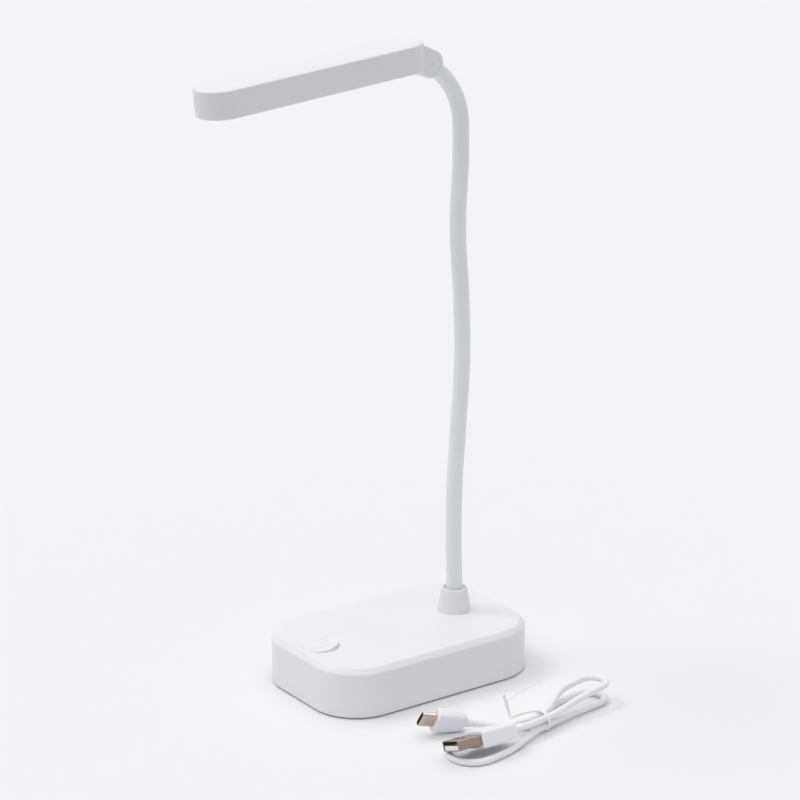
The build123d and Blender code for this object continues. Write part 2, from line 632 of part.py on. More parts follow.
def hank_loop(way, out_slot, back_slot, reach, radius, middle, height, spread=0.8):
    """Function of 0..1 round one loop: out along a leg, round the fold and back to the waist.

    way is 1 to the back and -1 to the front, and spread the share of the legs after which the loop has
    its full width.
    """
    straight = reach - radius

    def leg(slot, share, side):
        sideways = slot[0] + (middle + side * radius - slot[0]) * ease(share / spread)
        rise = slot[1] + (height - slot[1]) * ease(share)
        return hank_point(way * share * straight, sideways, rise)

    turn = 1 if out_slot[0] < back_slot[0] else -1

    def point(share):
        if share < 1 / 3:
            return leg(out_slot, 3 * share, -turn)
        if share > 2 / 3:
            return leg(back_slot, 3 - 3 * share, turn)
        angle = (3 * share - 1) * pi
        along, sideways = straight + radius * sin(angle), middle - turn * radius * cos(angle)
        return hank_point(way * along, sideways, height)

    return point


def cord_route():
    """Points and directions of the whole cord, from the small plug to the large plug."""
    low_left, low_right = (-HANK_STEP / 2, HANK_LOW), (HANK_STEP / 2, HANK_LOW)
    high_left, high_right = [(side, height + HANK_STEP) for side, height in (low_left, low_right)]
    loops = [hank_loop(1, low_left, low_right, reach=43.2, radius=6.6, middle=-6.8, height=2.0, spread=0.6),
             hank_loop(-1, low_right, high_left, reach=50.5, radius=10.4, middle=-2.2, height=1.6),
             hank_loop(1, high_left, high_right, reach=42.8, radius=6, middle=-5.6, height=9.6, spread=0.7)]
    start, start_way = plug_tail(SMALL_PLUG, small_length())
    end, end_way = plug_tail(LARGE_PLUG, large_length())
    lead = [(start, start_way), (start + start_way * 2 * CORD_RADIUS, start_way)]
    lead += [(Vector(*point), None) for point in LEAD_POINTS]
    steps = [k / (6 * LEG_STEPS) for k in range(6 * LEG_STEPS)]
    for loop in loops:
        kept = [s for s in steps if s <= 1 / 3 or s >= 2 / 3 or abs(s - 0.5) < 0.01]
        for share in kept:
            ahead, behind = loop(min(1, share + 0.002)), loop(max(0, share - 0.002))
            lead.append((loop(share), (ahead - behind).normalized()))
    tail_way = -end_way
    lead += [(loops[-1](1), hank_point(-1, 0, 0) - hank_point(0, 0, 0))]
    lead += [(end + end_way * 2 * CORD_RADIUS, tail_way), (end, tail_way)]
    ways = []
    for i, (point, way) in enumerate(lead):
        ways.append(way if way else (lead[i + 1][0] - lead[i - 1][0]).normalized())
    return [point for point, _ in lead], ways


def biarc(start, start_way, end, end_way):
    """Two tangent arcs between two points with given directions."""
    span, both = end - start, start_way + end_way
    lack = 2 * (1 - start_way.dot(end_way))
    if lack < 1e-6:
        if abs(span.normalized().dot(start_way)) > 1 - 1e-6:
            return [Edge.make_line(start, end)]
        reach = span.dot(span) / (4 * span.dot(end_way))
    else:
        reach = (-span.dot(both) + (span.dot(both) ** 2 + lack * span.dot(span)) ** 0.5) / lack
    first, second = start + start_way * reach, end - end_way * reach
    joint = (first + second) * 0.5
    return [Edge.make_tangent_arc(start, start_way, joint),
            Edge.make_tangent_arc(joint, (second - first).normalized(), end)]


def cable_hank():
    """The cord as one unbroken tube, with its least gap to itself and tightest bend printed."""
    points, ways = cord_route()
    edges = []
    for i in range(len(points) - 1):
        edges += biarc(points[i], ways[i], points[i + 1], ways[i + 1])
    path = Wire(edges)
    count = int(path.length / 1.5)
    samples = [path @ (i / count) for i in range(count + 1)]
    near = min(((samples[i] - samples[j]).length, i)
               for i in range(count + 1) for j in range(i + 8, count + 1))
    bends = [edge.radius for edge in edges if edge.geom_type == GeomType.CIRCLE]
    tube = sweep(Plane(points[0], z_dir=ways[0]) * Circle(CORD_RADIUS), path=path)
    share = tube.volume / (pi * CORD_RADIUS ** 2 * path.length)
    place = [round(c, 1) for c in samples[near[1]]]
    print(f"cord length {path.length:.1f} least gap {near[0] - 2 * CORD_RADIUS:.2f} at {place}")
    print(f"cord tightest bend {min(bends):.1f} volume share {share:.3f}")
    return tube


def twist_tie():
    """Wire bent round the hank's waist."""
    bore = CORD_RADIUS + TIE_GAP
    rim = bore + 2 * TIE_WIRE_RADIUS
    turn = radians(HANK_HEADING)
    plane = Plane((*HANK_CENTRE, HANK_LOW + HANK_STEP / 2), x_dir=(cos(turn), sin(turn), 0),
                  z_dir=(sin(turn), -cos(turn), 0))
    outer = RectangleRounded(HANK_STEP + 2 * rim, HANK_STEP + 2 * rim, rim)
    inner = RectangleRounded(HANK_STEP + 2 * bore, HANK_STEP + 2 * bore, bore)
    return extrude(plane * (outer - inner), 1.5 * TIE_WIRE_RADIUS, both=True)


def cable_pieces():
    """Both plugs, their mouldings and reliefs, the cord and its tie."""
    small_place, large_place = plug_place(**SMALL_PLUG), plug_place(**LARGE_PLUG)
    insert_low = -LARGE_SHELL[1] / 2 + LARGE_SHELL_WALL
    insert = Box(LARGE_SHELL[0] - 4 * LARGE_SHELL_WALL, LARGE_SHELL[2] - 1.3, LARGE_INSERT_THICKNESS,
                 align=(Align.CENTER, Align.MIN, Align.MIN))
    insert = Pos(0, 0.3, insert_low) * insert
    small_grip = moulding(SMALL_MOULD_FRONT, SMALL_MOULD_BACK, SMALL_SHELL[2], SMALL_MOULD_LENGTH,
                          SMALL_MOULD_EDGE)
    large_grip = moulding(LARGE_MOULD_FRONT, LARGE_MOULD_BACK, LARGE_SHELL[2], LARGE_MOULD_LENGTH,
                          LARGE_MOULD_EDGE)
    small_relief = relief(SMALL_SHELL[2] + SMALL_MOULD_LENGTH, SMALL_RELIEF_LENGTH)
    large_relief = relief(LARGE_SHELL[2] + LARGE_MOULD_LENGTH, LARGE_RELIEF_LENGTH)
    return {
        "small_plug_shell": small_place * oval_can(SMALL_SHELL, SMALL_SHELL_WALL, SMALL_SHELL[1] * 0.45),
        "small_plug_moulding": small_place * small_grip,
        "small_plug_relief": small_place * small_relief,
        "large_plug_shell": large_place * oval_can(LARGE_SHELL, LARGE_SHELL_WALL, 2 * LARGE_SHELL_WALL),
        "large_plug_insert": large_place * insert,
        "large_plug_moulding": large_place * large_grip,
        "large_plug_relief": large_place * large_relief,
        "cable_hank": cable_hank(),
        "twist_tie": twist_tie(),
    }


def base_pieces():
    """Everything fixed to the base, and the button with its plunger."""
    return {
        "base_shell": base_shell(),
        "base_cover": base_cover(),
        "anti_slip_pad": base_outline(PAD_INSET, 0, PAD_THICKNESS),
        "cover_screws": cover_screws(),
        "ballast_plate": ballast_plate(),
        "battery_cell": battery_cell(),
        "battery_cradle": battery_cradle(),
        "control_board": control_board(),
        "board_screws": board_screws(),
        "tact_switch": tact_switch(),
        "charge_board": charge_board(),
        "charge_socket": charge_socket(),
        "power_button": power_button(),
        "switch_plunger": switch_plunger(),
    }


def neck_pieces():
    """The neck from its collar to the tongue in the hinge."""
    pieces = {"neck_collar": neck_collar(), "neck_root": neck_root(), "neck_washer": neck_washer(),
              "neck_nut": neck_nut(), "neck_tongue": neck_tongue()}
    stations = neck_stations()
    count = len(NECK_TURNS)
    for i in range(count):
        pieces[f"neck_link_{i + 1}"] = neck_link(stations[i], stations[i + 1], last=i == count - 1)
    return pieces


def head_pieces():
    """The head, tilted about its pin."""
    level = {"head_housing": head_housing(), "head_diffuser": head_diffuser(), "light_board": light_board(),
             "light_chips": light_chips(), "light_screws": light_screws(), "head_fork": head_fork(),
             "fork_screws": fork_screws(), "hinge_pin": hinge_pin()}
    place = head_place()
    return {name: [place * solid for solid in shape] if isinstance(shape, list) else place * shape
            for name, shape in level.items()}


os.makedirs("parts", exist_ok=True)
for name, shape in {**base_pieces(), **neck_pieces(), **head_pieces(), **cable_pieces()}.items():
    export_step(Compound(shape) if isinstance(shape, list) else shape, f"parts/{name}.step")
hinge = hinge_point()
print("neck joints", [(round(y, 2), round(z, 2)) for y, z, _ in neck_stations()[:-1]])
print("hinge", round(hinge.Y, 2), round(hinge.Z, 2))
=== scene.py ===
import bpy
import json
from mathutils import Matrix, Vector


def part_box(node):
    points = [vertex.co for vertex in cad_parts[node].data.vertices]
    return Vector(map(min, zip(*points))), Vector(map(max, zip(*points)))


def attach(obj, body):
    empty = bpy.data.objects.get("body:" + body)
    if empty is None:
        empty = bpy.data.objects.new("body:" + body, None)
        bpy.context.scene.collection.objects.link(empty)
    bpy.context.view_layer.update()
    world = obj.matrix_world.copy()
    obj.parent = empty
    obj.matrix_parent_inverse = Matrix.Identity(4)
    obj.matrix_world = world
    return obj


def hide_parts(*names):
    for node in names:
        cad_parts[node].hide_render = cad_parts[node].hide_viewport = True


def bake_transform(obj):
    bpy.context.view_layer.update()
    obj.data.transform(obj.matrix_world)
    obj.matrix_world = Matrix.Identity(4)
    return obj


bl_info = {
    "name": "Desk lamp with a bendable neck",
    "version": (1, 0, 0),
    "blender": (4, 5, 0),
    "location": "3D View > Sidebar > Desk Lamp",
    "description": "Models the visible pieces of a rechargeable desk lamp around its solids",
    "category": "Object",
}

import json
from math import cos, pi, radians, sin

import bmesh
import bpy
from bpy.props import FloatProperty, FloatVectorProperty, IntProperty, PointerProperty
from mathutils import Matrix, Vector

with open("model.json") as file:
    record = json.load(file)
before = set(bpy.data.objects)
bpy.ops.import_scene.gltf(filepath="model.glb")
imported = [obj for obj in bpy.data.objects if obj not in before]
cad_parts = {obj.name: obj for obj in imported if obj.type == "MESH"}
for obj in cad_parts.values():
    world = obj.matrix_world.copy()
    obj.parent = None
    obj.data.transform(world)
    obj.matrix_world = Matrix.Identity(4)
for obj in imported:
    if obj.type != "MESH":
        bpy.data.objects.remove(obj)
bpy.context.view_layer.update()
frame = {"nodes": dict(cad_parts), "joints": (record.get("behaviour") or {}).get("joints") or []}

# Places that come with the solids
MM = 0.001
JOINTS = {joint["name"]: joint for joint in frame["joints"]}
BASE_LOW, BASE_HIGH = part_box("base_shell")
COLLAR_LOW, COLLAR_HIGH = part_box("neck_collar")
KEY_LOW, KEY_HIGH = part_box("power_button")
ROOT_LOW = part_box("neck_root")[0]
KEY_AT = Vector(((KEY_LOW.x + KEY_HIGH.x) / 2, (KEY_LOW.y + KEY_HIGH.y) / 2, 0))
HINGE = Vector(JOINTS["head_tilt"]["pos_m"])
STATIONS = [Vector(joint["pos_m"]) for joint in frame["joints"] if joint["child"].startswith("neck")]

# Neck: lean of the first link, then the turn of each link, back (+) or forward (-)
NECK_LEAN = -3.3
NECK_TURNS = (4.2, 3.4, -0.4, -6.3, -2.6, 9.5, -6.8, -54.8)
NECK_LINK = 29.9 * MM

# Head, in its own level frame with the hinge pin as origin
HEAD_TILT = radians(5.5)
PIN_BACK = 2.9 * MM
PIN_RISE = 1.0 * MM
HEAD_HALF = 55.0 * MM
HEAD_MIDDLE = Matrix.Translation((0, -PIN_BACK - HEAD_HALF, -PIN_RISE))
HEAD_PLACE = Matrix.Translation(HINGE) @ Matrix.Rotation(HEAD_TILT, 4, "X")

# Route of the charging cable, millimetres
CORD_RADIUS = 1.5
HANK_CENTRE = (87.5, 13.7)
HANK_HEADING = radians(7.0)
HANK_STEP = 3.6
HANK_LOW = 2.75
LOOP_STEPS = 18
LEAD_POINTS = ((74.1, -2.0, 1.6), (82.2, 6.0, 1.8))
# Loops of the hank in the cord's order, to the back (1) or to the front (-1)
HANK_LOOPS = (dict(way=1, reach=43.2, radius=6.6, middle=-6.8, height=2.0, spread=0.6),
              dict(way=-1, reach=50.5, radius=10.4, middle=-2.2, height=1.6, spread=0.8),
              dict(way=1, reach=42.8, radius=6, middle=-5.6, height=9.6, spread=0.7))

# Plugs, millimetres and degrees: the place of each mouth, then the forms from the mouth to the cord.
# A shell is width, length and height, and front and back are the grip's width and height at its ends.
SMALL_PLUG = dict(mouth=(63.0, -33.8, 8.9), heading=-17.6, climb=-12.5, roll=-58.8)
SMALL_FORM = dict(shell=(8.3, 6.6, 2.5), corner=1.12, wall=0.3, front=(12.0, 6.4), back=(9.0, 5.0),
                  grip=14.0, edge=2.1, relief=5.6)
LARGE_PLUG = dict(mouth=(90.7, -38.0, 7.6), heading=-2.2, climb=-0.5, roll=-21.9)
LARGE_FORM = dict(shell=(12.0, 12.0, 4.5), corner=0.7, wall=0.35, front=(15.4, 7.6), back=(11.6, 6.4),
                  grip=19.0, edge=1.6, relief=6.5)
SHELL_BACK, MOUTH_EDGE = 1.0, 0.1
GRIP_TAPER = ((0.35, 0.06), (0.7, 0.45), (1.0, 1.0))
GRIP_TAIL_EDGE, GRIP_LIP = 1.4, 0.7
RELIEF_RINGS, RELIEF_ROOT, RELIEF_RADIUS, RELIEF_STEP, RELIEF_GROOVE = 3, 2.1, 2.05, 0.12, 0.22
LATCH_SIDES, LATCH_AT, LATCH_SIZE = (-2.3, 2.3), 5.4, (2.3, 2.0, 8)
INSERT_DEPTH = 1.9
CONTACT_SIDES, CONTACT_AT = (-3.5, -1.0, 1.0, 3.5), 4.2
CONTACT_SIZE, CONTACT_EDGE = (1.0, 7.0, 0.2), 0.07

# Wire tie, millimetres: its turn round the hank, which leans along it, and its two free ends
TIE_CORNERS = ((-0.4, 1), (-1, 0.4), (-1, -0.4), (-0.4, -1), (0.4, -1), (1, -0.4), (1, 0.4), (0.4, 1))
TIE_START, TIE_PITCH, TIE_GAP, TIE_SLACK = 0.35, 0.05, 0.3, 1.12
TIE_TAIL = ((86.6, 13.6, 8.8), (84.2, 10.8, 8.7), (82.3, 8.5, 8.0), (79.4, 6.4, 6.2), (76.4, 5.0, 4.2),
            (75.3, 4.7, 5.6), (74.5, 4.3, 9.0), (73.2, 3.3, 14.2))
TIE_END = ((74.2, 4.2, 10.4), (74.0, 5.4, 11.5), (74.3, 8.6, 13.0), (75.3, 14.2, 15.2), (76.7, 20.4, 17.0))

# Small inner sizes of the base, key and collar
KEY_STEM, KEY_FLANGE = 2.0 * MM, 1.05 * MM
FLANGE_LOW, FLANGE_HIGH = 1.25 * MM, 0.05 * MM
SLEEVE_GAP = 0.2 * MM
PORT_GAP, PORT_CORNER = 0.5 * MM, 1.65 * MM
COLLAR_SEAT, SEAT_HEIGHT, SEAT_GAP = 5.25 * MM, 2.0 * MM, 0.05 * MM
RIM_EDGE, STUD_EDGE = 0.28 * MM, 0.4 * MM

# Knuckle, in the head's frame
KNUCKLE_WIDTH, KNUCKLE_RADIUS, KNUCKLE_EDGE = 10.0 * MM, 6.2 * MM, 1.2 * MM
KNUCKLE_BLOCK_AT = (0, -3.9 * MM, 4.15 * MM)
KNUCKLE_BLOCK_SIZE = (KNUCKLE_WIDTH, 2.0 * MM, 9.1 * MM)
KNUCKLE_SLOT, SLOT_REACH = 5.2 * MM, 20 * MM
DIMPLE_RADIUS, DIMPLE_LENGTH = 1.1 * MM, 0.6 * MM
PIN_HOLE, PIN_COVER = 1.02 * MM, 1.1 * MM
WINDOW_GAP, WINDOW_EDGE = 0.1 * MM, 0.4 * MM

# Grain of the finishes, over wide clouds of colour
GRAIN_DETAIL, GRAIN_SHARE = 4.0, 0.35
CLOUD_SCALE = 35.0
RAMP_STOPS = (0.3, 0.7)
RELIEF_STRENGTH = 0.5
EVEN = (1, 1, 1)

# Camera: its place and the three directions of its frame
CAMERA_AT = (0.8881, -0.6307, 0.4710)
CAMERA_AXES = ((0.5793, 0.8151, 0.0), (-0.244, 0.1734, 0.9541), (0.7777, -0.5527, 0.2994))
SENSOR_WIDTH = 36.0

# Lights: the points that they shine from, towards the lamp
SOFT_FROM = (-0.03, -0.20, 1.90)
SIDE_FROM = (-0.75, -0.80, 1.66)

# Floor: its middle lies behind the lamp, so that its near edge is just out of view
FLOOR_AT = (-2.84, 1.99, 0.0)
FLOOR_TURN = radians(-35.4)


def span(name, description, millimetres):
    """Property for a length, given in millimetres."""
    return FloatProperty(name=name, description=description, default=millimetres * MM, subtype="DISTANCE",
                         unit="LENGTH", precision=5)


def colour(name, description, value):
    """Property for a colour."""
    return FloatVectorProperty(name=name, description=description, default=value, subtype="COLOR",
                               min=0.0, max=1.0)


class LampBaseSizes(bpy.types.PropertyGroup):
    """Sizes of the base, its power key and the collar"""
    corner: span("Corner", "Radius of the base's upright corners", 22.0)
    bevel: span("Bevel", "Width of the bevel round the base's top", 2.5)
    softness: span("Softness", "Rounding of the bevel's two edges", 0.6)
    wall: span("Wall", "Thickness of the base's wall", 2.2)
    roof: span("Roof", "Thickness of the base's top", 2.4)
    key_radius: span("Key radius", "Radius of the power key", 8.25)
    key_gap: span("Key gap", "Gap round the power key", 0.1)
    key_front: span("Key front", "Height of the key over the base at its front", 0.1)
    key_back: span("Key back", "Height of the key over the base at its back", 2.1)
    lower_edge: span("Lower edge", "Rounding of the base's lower edge", 0.4)
    key_edge: span("Key edge", "Rounding of the key's upper edge", 0.4)
    mark_radius: span("Mark radius", "Outer radius of the mark on the key", 3.9)
    mark_width: span("Mark width", "Width of the mark's line", 0.7)
    mark_lift: span("Mark lift", "Height of the mark over the key", 0.18)
    collar_top: span("Collar top", "Radius of the collar at its upper end", 5.85)
    collar_rim: span("Collar rim", "Width of the collar's upper rim", 0.9)
    collar_recess: span("Collar recess", "Depth of the recess round the neck", 1.2)


class LampHeadSizes(bpy.types.PropertyGroup):
    """Sizes of the neck and the head"""
    sleeve_radius: span("Sleeve radius", "Outer radius of the neck's sleeve", 3.65)
    sleeve_end: FloatProperty(name="Sleeve end", description="Share of the last link that the sleeve covers",
                              default=0.971)
    sleeve_sides: IntProperty(name="Sleeve sides", description="Points round the sleeve", default=48, min=12)
    length: span("Head length", "Length of the head", 110.0)
    width: span("Head width", "Width of the head", 23.0)
    height: span("Head height", "Height of the head", 12.7)
    border: span("Border", "Width of the sloping border round the head's top", 2.6)
    border_rise: span("Border rise", "Height of the sloping border", 0.9)
    crown: span("Crown", "Rounding between the head's top and its border", 1.2)
    upper_edge: span("Upper edge", "Rounding between the border and the head's sides", 0.45)
    lower_edge: span("Lower edge", "Rounding of the head's lower edge", 1.1)
    wall: span("Wall", "Thickness of the head's wall", 1.6)
    roof: span("Roof", "Thickness of the head's top", 1.8)
    window: span("Window", "Thickness of the light window", 1.8)


class LampCableSizes(bpy.types.PropertyGroup):
    """Sizes of the charging cable"""
    length: span("Length", "Length of the cord between its plugs", 351.7)
    diameter: span("Diameter", "Diameter of the cord", 2 * CORD_RADIUS)
    tie: span("Tie", "Diameter of the tie's covered wire", 1.3)
    tail: span("Tail", "Diameter of the tie's bare end", 0.45)


class LampColours(bpy.types.PropertyGroup):
    """Colours of the finishes"""
    shell: colour("Shell", "Matt plastic of the base and head", (0.856, 0.855, 0.868))
    sleeve: colour("Sleeve", "Silicone sleeve of the neck", (0.86, 0.875, 0.91))
    cord: colour("Cord", "Jacket and grips of the cable", (0.90, 0.90, 0.935))
    # Both plugs' shells are one metal: the small plug's plating is painted lighter (painted light) and the
    # large plug's is painted darker (painted shade).
    plating: colour("Plating", "Plated shell of the small plug", (0.58, 0.50, 0.45))
    painted_shade_plating: colour("Plating with painted shade", "Plated shell of the large plug", (0.32, 0.255, 0.225))
    window: colour("Window", "Milky light window", (0.90, 0.90, 0.88))
    floor: colour("Floor", "Floor under the lamp", (0.885, 0.886, 0.90))
    backdrop: colour("Backdrop", "Backdrop beyond the floor", (0.89, 0.89, 0.90))


class LampStage(bpy.types.PropertyGroup):
    """Camera and light"""
    lens: FloatProperty(name="Lens", description="Focal length of the camera in millimetres", default=117.0)
    sky: FloatProperty(name="Sky", description="Strength of the even light from all round", default=0.33)
    floor: FloatProperty(name="Floor", description="Length of the floor's sides", default=8.0, unit="LENGTH")
    soft: FloatProperty(name="Soft light", description="Strength of the wide light from above", default=1.78)
    soft_size: FloatProperty(name="Soft size", description="Apparent size of the soft light",
                             default=radians(100), subtype="ANGLE")
    side: FloatProperty(name="Side light", description="Strength of the light from the left", default=0.45)
    side_size: FloatProperty(name="Side size", description="Apparent size of the side light",
                             default=radians(20), subtype="ANGLE")


def pick(kind, test):
    """Selects the vertices, edges or faces of the piece in edit mode that pass a test."""
    bpy.ops.mesh.select_mode(type=kind)
    bpy.ops.mesh.select_all(action="DESELECT")
    mesh = bmesh.from_edit_mesh(bpy.context.object.data)
    for item in {"VERT": mesh.verts, "EDGE": mesh.edges, "FACE": mesh.faces}[kind]:
        if test(item):
            item.select_set(True)
    mesh.select_flush_mode()
    bmesh.update_edit_mesh(bpy.context.object.data)


def round_edges(test, offset, segments):
    """Rounds the edges of the piece in edit mode that pass a test."""
    pick("EDGE", test)
    bpy.ops.mesh.bevel(offset=offset, segments=segments, affect="EDGES")


def extrude(way):
    """Extrudes what is selected in edit mode."""
    bpy.ops.mesh.extrude_region_move(TRANSFORM_OT_translate={"value": way})


def near(value, target):
    """Whether two lengths agree to a hundredth of a millimetre."""
    return abs(value - target) < 0.01 * MM


def level(height):
    """Test for what lies all at one height."""
    return lambda item: all(near(vertex.co.z, height) for vertex in item.verts)


def across(place):
    """Test for what lies all at one place along Y."""
    return lambda item: all(near(vertex.co.y, place) for vertex in item.verts)


def lengthwise(reach):
    """Test for an edge that runs further than that along Y."""
    return lambda edge: abs(edge.verts[0].co.y - edge.verts[1].co.y) > reach


def upright(edge):
    """Test for an upright edge."""
    first, second = [vertex.co for vertex in edge.verts]
    return (first - second).xy.length < 0.01 * MM


def deselect():
    """Leaves nothing selected, as before each new primitive."""
    bpy.ops.object.select_all(action="DESELECT")


def alone(piece):
    """Makes a piece the only one selected."""
    deselect()
    piece.select_set(True)
    bpy.context.view_layer.objects.active = piece


def shape(name):
    """Names the primitive just added, puts its place in its mesh and opens it for editing."""
    piece = bpy.context.object
    piece.name = piece.data.name = name
    alone(piece)
    bpy.ops.object.transform_apply(location=True, rotation=True, scale=True)
    bpy.ops.object.mode_set(mode="EDIT")
    return piece


def modifier(piece, kind, **settings):
    """Adds a modifier with its settings and applies it."""
    alone(piece)
    bpy.ops.object.modifier_add(type=kind)
    added = piece.modifiers[-1]
    for name, value in settings.items():
        setattr(added, name, value)
    bpy.ops.object.modifier_apply(modifier=added.name)


def cut(piece, cutter):
    """Takes a cutter's shape out of a piece and removes the cutter."""
    modifier(piece, "BOOLEAN", operation="DIFFERENCE", solver="EXACT", object=cutter)
    bpy.data.objects.remove(cutter)


def finish_mesh(angle=32.0, weighted=False):
    """Closes editing: merges doubles, turns faces outwards and smooths all but sharp edges."""
    piece = bpy.context.object
    bpy.ops.mesh.select_all(action="SELECT")
    bpy.ops.mesh.remove_doubles(threshold=0.002 * MM)
    bpy.ops.mesh.normals_make_consistent(inside=False)
    bpy.ops.object.mode_set(mode="OBJECT")
    bpy.ops.object.shade_smooth_by_angle(angle=radians(angle))
    if weighted:
        modifier(piece, "WEIGHTED_NORMAL", keep_sharp=True)
    return piece


def dress(piece, body, finish, slot, *nodes):
    """Gives a piece its finish and its body and hides the solids that it stands for. The slot is not used."""
    piece.data.materials.clear()
    piece.data.materials.append(finish_named(finish))
    if body:
        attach(piece, body)
    if nodes:
        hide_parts(*nodes)
    return piece


def put(piece, place):
    """Moves a finished piece from its own frame to the lamp's, in its mesh."""
    alone(piece)
    piece.matrix_world = place
    bpy.ops.object.transform_apply(location=True, rotation=True, scale=True)
    return piece


def cuboid(name, centre, size):
    """Plain box, left in edit mode."""
    deselect()
    bpy.ops.mesh.primitive_cube_add(size=1, location=centre, scale=size)
    return shape(name)


def slab(name, width, depth, corner, low, high, segments):
    """Upright plate with rounded corners about the origin, left in edit mode."""
    piece = cuboid(name, (0, 0, (low + high) / 2), (width, depth, high - low))
    round_edges(upright, corner, segments)
    bpy.ops.mesh.select_all(action="SELECT")
    bpy.ops.mesh.remove_doubles(threshold=0.01 * MM)
    return piece


def rod(name, centre, axis, reach, radius, sides=64):
    """Plain round bar through a centre along an axis, used to cut a hole."""
    deselect()
    turn = Vector((0, 0, 1)).rotation_difference(Vector(axis)).to_euler()
    bpy.ops.mesh.primitive_cylinder_add(vertices=sides, radius=radius, depth=reach, location=centre,
                                        rotation=turn)
    piece = shape(name)
    bpy.ops.object.mode_set(mode="OBJECT")
    return piece


def block(name, centre, size):
    """Plain box, used to cut a slot."""
    piece = cuboid(name, centre, size)
    bpy.ops.object.mode_set(mode="OBJECT")
    return piece


def turned(name, profile, ring=False, sides=96):
    """Turned piece about Z through a profile of (radius, height), as a ring or with both ends filled."""
    deselect()
    radius, height = profile[0]
    bpy.ops.mesh.primitive_circle_add(vertices=sides, radius=radius, location=(0, 0, height),
                                      fill_type="NOTHING")
    piece = shape(name)
    bpy.ops.mesh.select_mode(type="EDGE")
    bpy.ops.mesh.select_all(action="SELECT")
    for next_radius, next_height in profile[1:] + (profile[:1] if ring else []):
        extrude((0, 0, next_height - height))
        share = next_radius / radius
        bpy.ops.transform.resize(value=(share, share, 1), center_override=(0, 0, next_height))
        radius, height = next_radius, next_height
    bpy.ops.mesh.select_all(action="SELECT")
    bpy.ops.mesh.remove_doubles(threshold=0.002 * MM)
    if not ring:
        bpy.ops.mesh.fill_holes(sides=0)
    return piece


def node(tree, kind, **settings):
    """Adds a shader node with its settings."""
    added = tree.nodes.new(kind)
    for name, value in settings.items():
        setattr(added, name, value)
    return added


def grained(name, tone, spread, grain, rough, relief, stretch=EVEN, sockets={}):
    """Finish with a fine grain: colour and roughness vary with it, and it stands in relief.

    spread is the share by which the colour varies, grain the number of grains in a metre, rough the two ends
    of the roughness, relief the height of the grain in metres and stretch the grain's scale along each axis.
    sockets are the shader's own, with the values that hold all over the surface.
    """
    finish = bpy.data.materials.new(name)
    finish.use_nodes = True
    tree = finish.node_tree
    shader = tree.nodes["Principled BSDF"]
    for socket, value in sockets.items():
        shader.inputs[socket].default_value = value
    place = node(tree, "ShaderNodeTexCoord")
    mapping = node(tree, "ShaderNodeMapping")
    mapping.inputs["Scale"].default_value = stretch
    noise = node(tree, "ShaderNodeTexNoise")
    noise.inputs["Scale"].default_value = grain
    noise.inputs["Detail"].default_value = GRAIN_DETAIL
    cloud = node(tree, "ShaderNodeTexNoise")
    cloud.inputs["Scale"].default_value = CLOUD_SCALE
    ramp = node(tree, "ShaderNodeValToRGB")
    for stop, position, share in zip(ramp.color_ramp.elements, RAMP_STOPS, (1 - spread, 1 + spread)):
        stop.position = position
        stop.color = (*(min(1, channel * share) for channel in tone), 1)
    both = node(tree, "ShaderNodeMix", data_type="FLOAT")
    both.inputs["Factor"].default_value = GRAIN_SHARE
    gloss = node(tree, "ShaderNodeMapRange")
    gloss.inputs["To Min"].default_value, gloss.inputs["To Max"].default_value = rough
    bump = node(tree, "ShaderNodeBump")
    bump.inputs["Distance"].default_value = relief
    bump.inputs["Strength"].default_value = RELIEF_STRENGTH
    links = tree.links
    links.new(place.outputs["Object"], mapping.inputs["Vector"])
    links.new(mapping.outputs["Vector"], noise.inputs["Vector"])
    links.new(place.outputs["Object"], cloud.inputs["Vector"])
    links.new(cloud.outputs["Fac"], both.inputs[2])
    links.new(noise.outputs["Fac"], both.inputs[3])
    links.new(both.outputs[0], ramp.inputs["Fac"])
    links.new(ramp.outputs["Color"], shader.inputs["Base Color"])
    links.new(noise.outputs["Fac"], gloss.inputs["Value"])
    links.new(gloss.outputs["Result"], shader.inputs["Roughness"])
    links.new(noise.outputs["Fac"], bump.inputs["Height"])
    links.new(bump.outputs["Normal"], shader.inputs["Normal"])
    return finish


